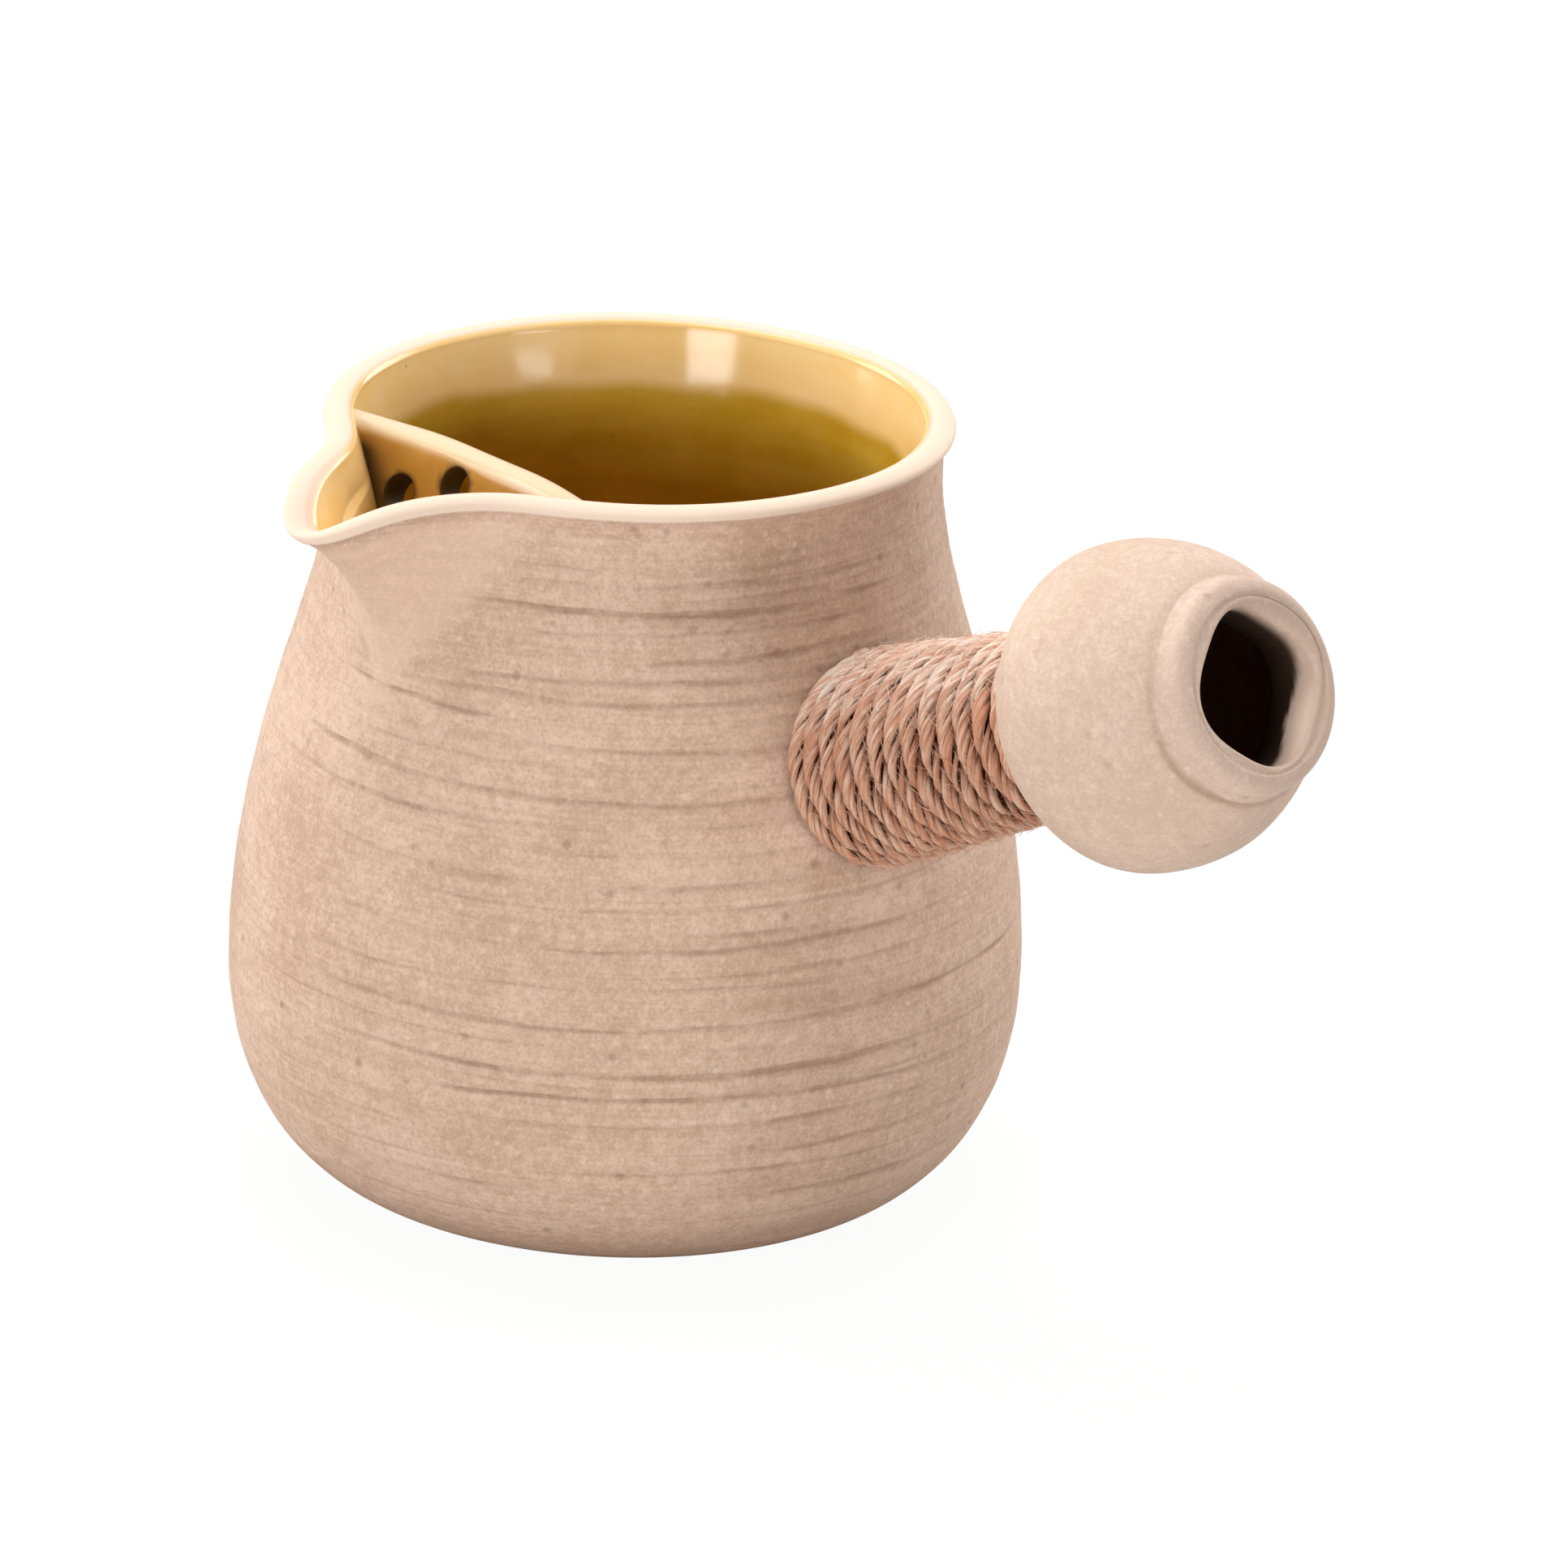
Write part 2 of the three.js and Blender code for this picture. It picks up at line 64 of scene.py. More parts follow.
def angle(name, description, default):
    """An angle property in radians, with its default given in degrees."""
    return FloatProperty(name=name, description=description, default=math.radians(default), unit="ROTATION")


def number(name, description, default):
    """A plain number property."""
    return FloatProperty(name=name, description=description, default=default)


def count(name, description, default):
    """A whole number property."""
    return IntProperty(name=name, description=description, default=default, min=1)


class PotSettings(bpy.types.PropertyGroup):
    """Sizes of the thrown wall, its lip, its spout and the glaze inside."""

    height: length("Height", "Height of the lip's top above the table", 95.8)
    base_radius: length("Base radius", "Radius of the flat foot", 26.5)
    belly_radius: length("Belly radius", "Largest radius of the wall", 47.46)
    belly_height: length("Belly height", "Height of the largest radius", 27.7)
    fullness: number("Corner fullness", "Power of the curve between foot and belly", 2.15)
    shoulder_radius: length("Shoulder radius", "Radius where the wall starts to draw in", 43.1)
    shoulder_height: length("Shoulder height", "Height of that radius", 58.0)
    shoulder_slope: number("Shoulder slope", "Change of radius with height at the shoulder", -0.262)
    neck_radius: length("Neck radius", "Radius just under the lip", 35.95)
    neck_height: length("Neck height", "Height where the wall runs straight up", 90.0)
    wall: length("Wall", "Thickness of the clay wall", 2.7)
    floor: length("Floor", "Thickness of the clay floor", 4.6)
    lip_radius: length("Lip radius", "Radius of the lip's middle", 35.5)
    lip_width: length("Lip width", "Width of the rolled lip", 3.6)
    lip_height: length("Lip height", "Height of the rolled lip", 2.3)
    spout_angle: angle("Spout angle", "Direction of the spout", -90)
    spout_reach: length("Spout reach", "How far the lip is pulled out", 17.6)
    spout_near: angle("Spout spread, near side", "Spread of the pull on the handle's side", 8.4)
    spout_far: angle("Spout spread, far side", "Spread of the pull on the other side", 10.3)
    spout_roundness: number("Spout roundness", "Power of the pull's falling off", 1.83)
    spout_droop: length("Spout droop", "How far the lip sinks at the spout", 4.0)
    droop_spread: angle("Droop spread", "Spread of the sinking", 4.6)
    throat_depth: length("Throat depth", "Depth of the pulled part below the lip", 27)
    throat_fall: number("Throat fall", "Power of the pull's fading downwards", 1.5)
    glaze: length("Glaze", "Thickness of the glaze coat", 0.7)
    glaze_gap: length("Glaze set-back", "Set-back of the coat's outer face inside the clay", 0.6)
    throat_radius: length("Throat radius", "Narrowest radius of the glazed throat", 31.4)
    throat_height: length("Throat height", "Height of the narrowest glazed throat", 84.2)
    ring_width: length("Ring width", "Width of one throwing ring's groove", 0.36)
    ring_depth: length("Ring depth", "Depth of a throwing ring's groove", 0.24)
    turn_steps: count("Turn steps", "Faces round the pot", 252)


class StrainerSettings(bpy.types.PropertyGroup):
    """Sizes of the pierced wall behind the spout."""

    turn: angle("Turn", "Turn of the wall from the spout's direction", -3)
    thickness: length("Thickness", "Thickness of the wall", 3.4)
    distance: length("Distance", "Distance of the wall from the pot's middle at its ends", 26.2)
    half_chord: length("Half chord", "Half of the length that the wall spans at the top", 23.95)
    bulge: length("Bulge", "How far the middle bows towards the pot's middle", 2.4)
    drop: length("Drop", "Height of the lip above the wall's top", 0.9)
    depth: length("Depth", "Height of the wall", 30)
    slant: length("Slant", "How far the foot leans towards the spout", 13)
    hole: length("Hole", "Diameter of a hole", 4.3)
    hole_ring: length("Hole ring", "Radius of the ring of holes", 8.6)
    holes: count("Holes", "Number of holes round the middle one", 6)
    ring_turn: angle("Ring turn", "Direction of the first hole of the ring", 79)
    aside: length("Aside", "Place of the middle hole along the wall", -3.3)
    below: length("Below", "Depth of the middle hole under the wall's top", 13.1)


class HandleSettings(bpy.types.PropertyGroup):
    """Sizes of the hollow stem, the bulb and its collar, along the handle's line."""

    tilt: angle("Tilt", "Rise of the handle's line", 23.33)
    anchor: length("Anchor height", "Height where the handle's line meets the pot's axis", 45.7)
    root_radius: length("Root radius", "Radius of the stem at the pot", 10.6)
    tip_radius: length("Tip radius", "Radius of the stem at the bulb", 8.2)
    root: length("Root distance", "Distance of the root from the pot's axis", 44)
    tip: length("Tip distance", "Distance of the stem's end from the pot's axis", 79.57)
    stem_wall: length("Stem wall", "Thickness of the stem's clay", 3.0)
    bulb_radius: length("Bulb radius", "Largest radius of the bulb", 19.35)
    bulb: length("Bulb distance", "Distance of the bulb's largest radius", 92.1)
    bulb_back: length("Bulb back", "Length of the bulb's back half", 13.5)
    bulb_front: length("Bulb front", "Length of the bulb's front half", 21.3)
    bulb_wall: length("Bulb wall", "Thickness of the bulb's clay", 3.0)
    collar_radius: length("Collar radius", "Outer radius of the collar", 12.6)
    collar_end: length("Collar end", "Distance of the collar's face", 111.67)
    collar_round: length("Collar round", "Radius of the collar's rolled edge", 2.1)
    mouth_radius: length("Mouth radius", "Mean radius of the cut mouth", 8.85)
    mouth_corners: count("Mouth corners", "Soft corners left by the knife", 4)
    mouth_rise: length("Mouth corner rise", "How far a corner stands out", 0.44)
    mouth_turn: angle("Mouth turn", "Direction of the first corner", 6.8)
    mouth_shift: length("Mouth shift", "How far the mouth lies off the middle", 0.36)
    shift_turn: angle("Shift turn", "Direction of that shift", -128)


class TwineSettings(bpy.types.PropertyGroup):
    """Sizes of the plied twine wound round the stem."""

    diameter: length("Diameter", "Diameter of the twine", 2.78)
    plies: count("Plies", "Strands twisted into the twine", 8)
    lay: length("Lay", "Length of one full twist of the strands", 12.5)
    turns: number("Turns", "Turns round the stem", 12.5)
    start: angle("Start", "Direction in which the winding starts", 90)
    bedding: length("Bedding", "Distance of the twine's middle from the stem's clay in the part", 1.05)
    hairs: count("Hairs", "Loose fibres on the twine", 4400)


class StageSettings(bpy.types.PropertyGroup):
    """The camera and the studio light."""

    lens: number("Lens", "Focal length in millimetres on a 36 mm sensor", 298.1)
    roll: angle("Roll", "Roll of the camera", 1.87)
    key: number("Key power", "Power of the window-like lamp at the front in watts", 6.5)
    fill: number("Fill power", "Power of the small lamp on the right in watts", 0.45)
    low: number("Low power", "Power of the low lamp in front of the handle in watts", 2.4)
    top: number("Top power", "Power of the lamp overhead in watts", 9.4)
    rims: number("Rim power", "Power of each of the two lamps behind in watts", 6.6)
    ambient: number("Ambient", "Strength of the light from all round", 0.10)


# Helpers for surfaces

def clamp(value, low=0.0, high=1.0):
    """The value kept between two limits."""
    return np.clip(value, low, high)


def smooth(value, start, end):
    """A soft step from 0 at start to 1 at end."""
    share = clamp((value - start) / (end - start))
    return share * share * (3 - 2 * share)


def band(value, start, full, fading, end):
    """A soft step up and a soft step down again, at places given in millimetres."""
    return smooth(value, start * MM, full * MM) * (1 - smooth(value, fading * MM, end * MM))


def bell(value, width):
    """A bell curve: 1 at nought, and fading on both sides."""
    return np.exp(-(value / width) ** 2)


def wrapped(angles, centre):
    """The angle from a centre, between minus and plus half a turn."""
    return (angles - centre + math.pi) % FULL_TURN - math.pi


def patch(angles, degrees, width):
    """A bell curve round a direction given in degrees."""
    return bell(wrapped(angles, math.radians(degrees)), width)


def hermite(share, span, start, start_slope, end, end_slope):
    """The cubic curve between two values with given slopes, at a share of its span."""
    cube = share ** 3
    square = share ** 2
    return ((2 * cube - 3 * square + 1) * start + (3 * square - 2 * cube) * end
            + (cube - 2 * square + share) * span * start_slope + (cube - square) * span * end_slope)


def waves(seed, counts, angles):
    """A closed random curve round a turn: a sum of sines of whole counts with random phases, from about -1 to 1."""
    random = np.random.default_rng(seed)
    total = np.zeros_like(angles)
    for number_of_waves in counts:
        total = total + np.sin(number_of_waves * angles + random.uniform(0, FULL_TURN))
    return total / math.sqrt(len(counts))


def unit(vectors):
    """The vectors at a length of one."""
    return vectors / np.linalg.norm(vectors, axis=-1, keepdims=True)


def by_part(parts, values):
    """One number for each point of a surface, from the numbers given for each of its parts."""
    return np.concatenate([np.broadcast_to(value, part.shape[:2]) for part, value in zip(parts, values)])


def place_in_scene(name, data):
    """A new object in the scene."""
    made = bpy.data.objects.new(name, data)
    bpy.context.scene.collection.objects.link(made)
    return made


def keep_on(mesh, name, values):
    """Keeps one number or one vector for each vertex on the mesh, in place of any older ones of that name."""
    values = np.asarray(values, np.float32).reshape(len(mesh.vertices), -1)
    kind, key = ("FLOAT_VECTOR", "vector") if values.shape[1] == 3 else ("FLOAT", "value")
    kept = mesh.attributes.get(name) or mesh.attributes.new(name, kind, "POINT")
    kept.data.foreach_set(key, values.ravel())


def smooth_mesh(name, vertices, corners, sizes):
    """A smooth mesh from its vertices, the corners of all its faces in a row, and each face's number of corners."""
    mesh = bpy.data.meshes.new(name)
    mesh.vertices.add(len(vertices))
    mesh.vertices.foreach_set("co", vertices.astype(np.float32).ravel())
    mesh.loops.add(len(corners))
    mesh.loops.foreach_set("vertex_index", corners.astype(np.int32))
    mesh.polygons.add(len(sizes))
    mesh.polygons.foreach_set("loop_start", (np.cumsum(sizes) - sizes).astype(np.int32))
    mesh.polygons.foreach_set("use_smooth", np.ones(len(sizes), bool))
    mesh.update(calc_edges=True)
    if mesh.validate():
        raise RuntimeError(f"{name}: the surface had faulty faces")
    return mesh


def ring_quads(row, after, columns):
    """The corners of the faces between rings, from the first vertex of each ring and that of the next one."""
    column = np.arange(columns)
    beside = (column + 1) % columns
    return np.stack([row + column, row + beside, after + beside, after + column], -1).reshape(-1, 4)


def surface(name, points, poles=None, values=None):
    """A closed piece from a grid of points. Each row is a ring. The rows run from one pole to the other, where
    True puts the poles in the middle of the end rings; without poles the last row joins the first. Faces are
    turned to face out by the sign of the volume. values holds a number or a vector for each grid point."""
    if poles is True:
        poles = points[0].mean(0), points[-1].mean(0)
    rows, columns = points.shape[:2]
    total = rows * columns
    vertices = points.reshape(-1, 3)
    row = np.arange(rows if poles is None else rows - 1)[:, None] * columns
    quads = ring_quads(row, (row + columns) % total, columns)
    corners, sizes = quads.ravel(), np.full(len(quads), 4)
    if poles is not None:
        vertices = np.vstack([vertices, *poles])
        column = np.arange(columns)
        beside = (column + 1) % columns
        low = np.stack([0 * column + total, beside, column], -1)
        high = np.stack([0 * column + total + 1, total - columns + column, total - columns + beside], -1)
        corners = np.concatenate([corners, low.ravel(), high.ravel()])
        sizes = np.concatenate([sizes, np.full(2 * columns, 3)])
    a, b, c, d = vertices[quads.T]
    if (np.cross(b, c) * a).sum() + (np.cross(c, d) * a).sum() < 0:
        begin = np.cumsum(sizes) - sizes
        corners = corners[np.repeat(2 * begin + sizes - 1, sizes) - np.arange(len(corners))]
    mesh = smooth_mesh(name, vertices, corners, sizes)
    for key, value in (values or {}).items():
        value = np.asarray(value).reshape(total, -1)
        keep_on(mesh, key, value if poles is None else np.concatenate([value, value[:1], value[-1:]]))
    return place_in_scene(name, mesh)


def dress(piece, material, slot, *nodes):
    """Gives a finished piece its material and its place in the part, and hides the CAD nodes that it replaces."""
    piece.data.materials.clear()
    piece.data.materials.append(material)
    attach(piece, "root")
    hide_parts(*nodes)


# The wall of the pot

def outer_radius(pot, height):
    """The plain wall's outer radius at a height: a full superelliptic corner from foot to belly, then two cubic
    curves by way of the shoulder to the neck."""
    level = clamp(1 - height / pot.belly_height)
    low = pot.base_radius + (pot.belly_radius - pot.base_radius) * (1 - level ** pot.fullness) ** (1 / pot.fullness)
    span = pot.shoulder_height - pot.belly_height
    waist = hermite(clamp((height - pot.belly_height) / span), span,
                    pot.belly_radius, 0, pot.shoulder_radius, pot.shoulder_slope)
    rise = pot.neck_height - pot.shoulder_height
    neck = hermite(clamp((height - pot.shoulder_height) / rise), rise,
                   pot.shoulder_radius, pot.shoulder_slope, pot.neck_radius, 0)
    return np.where(height <= pot.belly_height, low, np.where(height <= pot.shoulder_height, waist, neck))


def turn_angles(pot):
    """The angles round the pot, closer together at the spout: an even turn less half its own sine."""
    even = np.linspace(0, FULL_TURN, pot.turn_steps, endpoint=False)
    return (pot.spout_angle + even - 0.5 * np.sin(even))[None, :]


def spout_pull(pot, angles, height):
    """How far the wall is pulled out: the reach times a bell curve round the spout's direction, wider on one
    side, fading downwards with a power of the depth; and the slope of the pull round the pot."""
    turn = wrapped(angles, pot.spout_angle)
    spread = np.where(turn > 0, pot.spout_near, pot.spout_far)
    below = clamp((pot.height - height) / pot.throat_depth)
    size = pot.spout_reach * (1 - below) ** pot.throat_fall
    share = np.abs(turn) / spread
    pull = size * np.exp(-0.5 * share ** pot.spout_roundness)
    slope = -0.5 * pot.spout_roundness * share ** (pot.spout_roundness - 1) * np.sign(turn) / spread * pull
    return pull, slope


def wall_point(pot, angles, middle, offset, height):
    """A point of the wall: the middle radius plus the spout's pull, set off along the normal of that curve
    in plan, and sunk by the spout's droop, which fades downwards like the pull."""
    pull, slope = spout_pull(pot, angles, height)
    radius = middle + pull
    out = np.stack([np.cos(angles), np.sin(angles)], -1)
    along = np.stack([-np.sin(angles), np.cos(angles)], -1)
    normal = unit(radius[..., None] * out - slope[..., None] * along)
    plan = radius[..., None] * out + np.asarray(offset)[..., None] * normal
    below = clamp((pot.height - height) / pot.throat_depth)
    turn = wrapped(angles, pot.spout_angle)
    sink = pot.spout_droop * (1 - below) * np.exp(-0.5 * (turn / pot.droop_spread) ** 2)
    return np.concatenate([plan, (height - sink)[..., None]], -1)


def flat_rings(radius, angles, level):
    """Level circles round the pot's axis."""
    return np.stack(np.broadcast_arrays(radius * np.cos(angles), radius * np.sin(angles), level), -1)


def floor_rings(pot, angles, set_back, share):
    """Circles along the soft corner between floor and wall, set back from the clay's inner face, at shares of
    the way up from the floor to the belly."""
    radius = outer_radius(pot, share * pot.belly_height) - pot.wall - set_back
    level = pot.floor + set_back + (pot.belly_height - pot.floor - set_back) * share
    return flat_rings(radius, angles, level)


def lip_rings(pot, angles, turn, proud):
    """Rings at given turns of the rolled lip's section, an ellipse whose crest dips in slow waves round the pot,
    standing proud of the clay; and their heights before the spout's droop."""
    rise = np.sin(turn)
    dip = 0.12 * MM * (1 + waves(3, (2, 3, 5), angles))
    crest = pot.height - pot.lip_height / 2 * (1 - rise) + proud * rise - dip * (0.5 + 0.5 * rise)
    return wall_point(pot, angles, pot.lip_radius, (pot.lip_width / 2 + proud) * np.cos(turn), crest), crest


# Throwing rings: height in millimetres, strength, and the arc in degrees where the ring is strong
RINGS = (
    (87.8, 0.5, -62, 20), (86.6, 0.4, -40, 30), (85.6, 0.6, -62, 12), (84.3, 0.35, -30, 25), (82.9, 1.35, -62, 8),
    (81.6, 0.35, -48, 10), (80.0, 0.55, -66, 20), (78.4, 0.35, -66, -20), (77.1, 0.6, -40, 30), (74.8, 0.5, -70, 10),
    (72.8, 1.1, -84, -62), (71.7, 0.45, -60, 0), (70.0, 1.0, -96, -66), (67.6, 0.5, -74, -10), (65.1, 0.4, -100, -40),
    (61.8, 1.4, -108, -84), (61.2, 0.45, -70, -5), (58.6, 0.6, -110, -50), (55.2, 0.5, -60, 10),
    (52.0, 0.45, -120, -30), (48.9, 0.6, -70, 5), (46.6, 0.4, -110, -20), (44.5, 0.6, -90, 10), (41.9, 0.45, -60, 30),
    (39.3, 0.6, -120, -10), (35.5, 1.0, -75, 30), (32.6, 0.5, -130, -20), (29.8, 0.9, -80, 25), (28.0, 0.4, -50, 40),
    (26.3, 1.0, -70, 30), (22.9, 0.6, -110, 10), (19.6, 0.5, -60, 40), (16.4, 0.6, -120, 0), (13.1, 0.5, -80, 30),
    (9.8, 0.5, -100, 20),
)


def ring_grooves(pot, angles, height):
    """How deep the throwing rings cut into the wall: narrow bell-shaped grooves, steep above and soft below. A
    ring is strong along its own arc and faint elsewhere, and drifts a little up and down."""
    slow_drift, quick_drift = 0.45 * MM, 0.10 * MM
    faint, steep, soft = 0.42, 0.7, 1.25
    depth = np.zeros(np.broadcast(angles, height).shape)
    for index, (ring, strength, start, end) in enumerate(RINGS):
        drift = slow_drift * waves(index, (1, 2, 3), angles) + quick_drift * waves(index + 40, (9, 14, 23), angles)
        turn = wrapped(angles, math.radians((start + end) / 2))
        half = math.radians((end - start) / 2)
        strong = 1 - smooth(np.abs(turn), half - 0.12, half + 0.16)
        patchy = smooth(waves(index + 80, (2, 3, 5, 8, 13), angles), -0.9, 0.9)
        present = strong * (0.55 + 0.45 * patchy) + faint * (1 - strong) * patchy
        away = height - ring * MM - drift
        width = pot.ring_width * np.where(away > 0, steep, soft)
        depth = depth + pot.ring_depth * strength * present * bell(away, width)
    pouch = 1 - 0.9 * pouch_share(pot, angles, height)
    return depth * pouch * band(height, 3, 9, 89, 92)


def pouch_share(pot, angles, height):
    """1 inside the smoothed pouch under the spout, a pointed patch that narrows downwards, and 0 outside it."""
    turn = np.abs(wrapped(angles, pot.spout_angle) + 0.02)
    half = math.radians(25) * smooth(height, 66 * MM, 92 * MM)
    return (1 - smooth(turn, half * 0.75, half * 1.15 + 0.02)) * smooth(height, 67 * MM, 73 * MM)


def swells(angles, height):
    """Broad shallow hollows left by the potter's fingers: slow waves up the wall that wind round the pot."""
    rise, finger, hand = 7.6 * MM, 0.05 * MM, 0.10 * MM
    wind = height / rise * FULL_TURN + angles + 1.6 * waves(5, (1, 2), angles)
    return finger * (0.5 - 0.5 * np.cos(wind)) + hand * (0.5 + 0.5 * waves(6, (2, 3, 5), angles))


def pouch_crease(pot, angles, height):
    """The shallow crease on the far side of the pouch: a groove along a line that nears the middle downwards."""
    foot, length_up, deepest, width = 66 * MM, 28 * MM, 0.14 * MM, 0.03
    line = -math.radians(16) * clamp((height - foot) / length_up) ** 0.8
    return deepest * band(height, 70, 75, 82, 88) * bell(wrapped(angles, pot.spout_angle) - line, width)


def body_surface(pot):
    """The clay of the pot as one closed surface: from the middle of the foot out to its edge, up the outer wall
    with throwing rings cut in, over the rolled lip, down the inner wall and in to the middle of the floor."""
    angles = turn_angles(pot)
    half = pot.wall / 2
    hollow, edge_round = 0.35 * MM, 0.5 * MM
    foot = (pot.base_radius - edge_round) * np.array([0.3, 0.6, 0.85, 0.97])[:, None]
    lip_foot = pot.height - 3.65 * MM
    height = np.vstack([(5 * MM) * np.linspace(0, 1, 16)[:, None] ** 2, np.linspace(5.4 * MM, lip_foot, 306)[:, None]])
    groove = ring_grooves(pot, angles, height) + swells(angles, height) + pouch_crease(pot, angles, height)
    groove = groove * smooth(height, 1 * MM, 6 * MM) * (1 - smooth(height, 89 * MM, lip_foot))
    foot_edge = 0.55 * MM * np.exp(-height / (0.45 * MM))
    roll = np.linspace(-50, 200, 26)[:, None]
    inner = np.linspace(91 * MM, pot.belly_height, 16)[:, None]
    parts = [
        flat_rings(foot, angles, hollow * (1 - foot / foot[-1])),
        wall_point(pot, angles, outer_radius(pot, height) - half, half - groove - foot_edge, height),
        lip_rings(pot, angles, np.radians(roll), 0)[0],
        wall_point(pot, angles, outer_radius(pot, inner) - half, -half, inner),
        floor_rings(pot, angles, 0, 1 - np.cos(np.linspace(math.pi / 2, 0, 8))[1:, None]),
    ]
    points = np.concatenate(parts)
    level = points[..., 2]
    outside = by_part(parts, [1, 1, 0, 0, 0])
    return points, (hollow * UP, pot.floor * UP), {
        # groove also drives painted shade in the ring grooves in the material
        "groove": by_part(parts, [0, groove / pot.ring_depth, 0, 0, 0]),
        "rim": by_part(parts, [0, 0, smooth(roll, -38, 10), 0, 0]),
        # foot: painted shade, darker towards the table
        "foot": np.exp(-np.maximum(level, 0) / (4.5 * MM)) * outside,
        "pouch": pouch_share(pot, angles, level) * outside}


def glazed_radius(pot, height):
    """The glazed face's plain radius: it flares towards the lip above the throat and, below it, widens softly
    into the wall's own inner radius."""
    wall_side = outer_radius(pot, height) - pot.wall - pot.glaze - 0.3 * MM
    rise = clamp((height - pot.throat_height) / (11 * MM))
    flare = pot.throat_radius + 2.42 * MM * rise ** 1.35
    share = smooth(height, 70 * MM, pot.throat_height)
    below = wall_side + (pot.throat_radius - wall_side) * share
    return np.where(height > pot.throat_height, flare, below)


def glaze_surface(pot):
    """The glaze coat as one closed surface: an outer face sunk into the clay, a thin edge just under the lip, and
    the inner face that is seen, with slow runs and ripples. It is thin above an uneven line under the lip, where it is
    painted paler, partly for the thin glaze and partly as painted light on the band that faces up, and wiped bare
    on the lip's crest."""
    angles = turn_angles(pot)
    half = pot.wall / 2
    skin = pot.glaze + 0.3 * MM
    corner = 1 - np.cos(np.linspace(0, math.pi / 2, 10))[:-1, None]

    def middle_of(height):
        """The radius of the clay's middle, which the lip takes over at the top."""
        return np.where(height > 90 * MM, pot.lip_radius, outer_radius(pot, height) - half)

    up = np.linspace(pot.belly_height, pot.height - 1.6 * MM, 24)[:, None]
    over = np.radians(np.concatenate([[120, 120], np.linspace(124, 178, 16)]))[:, None]
    proud = np.concatenate([[-0.5, -0.12], np.full(16, 0.05)])[:, None] * MM
    lip, crest = lip_rings(pot, angles, over, proud)
    top = pot.height - pot.lip_height / 2 - 0.25 * MM
    down = np.concatenate([np.linspace(top, 70 * MM, 66), np.linspace(69 * MM, pot.belly_height, 20)])[:, None]
    ripple = 0.05 * MM * waves(21, (3, 5, 8), angles) * np.sin(down / (5.2 * MM) + angles)
    middle = middle_of(down)
    offset = glazed_radius(pot, down) + ripple * (1 - smooth(down, 90 * MM, 94 * MM)) - middle
    share = smooth(spout_pull(pot, angles, down)[0], 0.1 * MM, 5.0 * MM)
    trough = -half - pot.glaze - 0.1 * MM
    lip_side = -pot.lip_width / 2 - 0.05 * MM
    trough = lip_side + (trough - lip_side) * smooth(pot.height - down, 1.2 * MM, 5 * MM)
    offset = offset * (1 - share) + np.maximum(offset, trough) * share
    parts = [
        floor_rings(pot, angles, -pot.glaze_gap, corner),
        wall_point(pot, angles, middle_of(up), -half + pot.glaze_gap, up),
        lip,
        wall_point(pot, angles, middle, offset, down),
        floor_rings(pot, angles, skin, corner[::-1]),
    ]
    thin_above, unevenness = 88.4 * MM, 0.35 * MM
    line = thin_above + unevenness * waves(71, (2, 3, 5, 9, 16), angles)
    # The paler band is partly thin glaze and partly painted light on the upward-facing band
    thin = smooth(by_part(parts, [0, up, crest, down, 0]), line - 1.3 * MM, line + 0.9 * MM)
    pulled = smooth(spout_pull(pot, angles, crest)[0], 1 * MM, 9 * MM)
    bare = 1 - smooth(over, math.radians(124) + 0.3 * pulled, math.radians(148) + 0.5 * pulled)
    poles = (pot.floor - pot.glaze_gap) * UP, (pot.floor + skin) * UP
    return np.concatenate(parts), poles, {"thin": thin, "bare": by_part(parts, [0, 0, bare, 0, 0])}


# The strainer

def strainer_stand(wall, share, depth):
    """The strainer's distance from the pot's middle: bowed in at its top middle, and leaning out downwards with
    a power of the depth."""
    deep = clamp(depth / wall.depth, 0, 1.2)
    return wall.distance - wall.bulge * (1 - share ** 2) * (1 - deep) + wall.slant * deep ** 1.3


def strainer_half(pot, wall, depth):
    """Half of the wall's length at a depth: the chord that ends in the middle of the pot's clay."""
    reach = outer_radius(pot, pot.height - wall.drop - depth) - pot.wall * 0.6
    return np.sqrt(clamp(reach ** 2 - strainer_stand(wall, 1.0, depth) ** 2, 1e-6, 1))


def strainer_axes(pot, wall):
    """The directions out through the strainer and along it."""
    turn = pot.spout_angle + wall.turn
    return np.array([math.cos(turn), math.sin(turn), 0]), np.array([-math.sin(turn), math.cos(turn), 0])


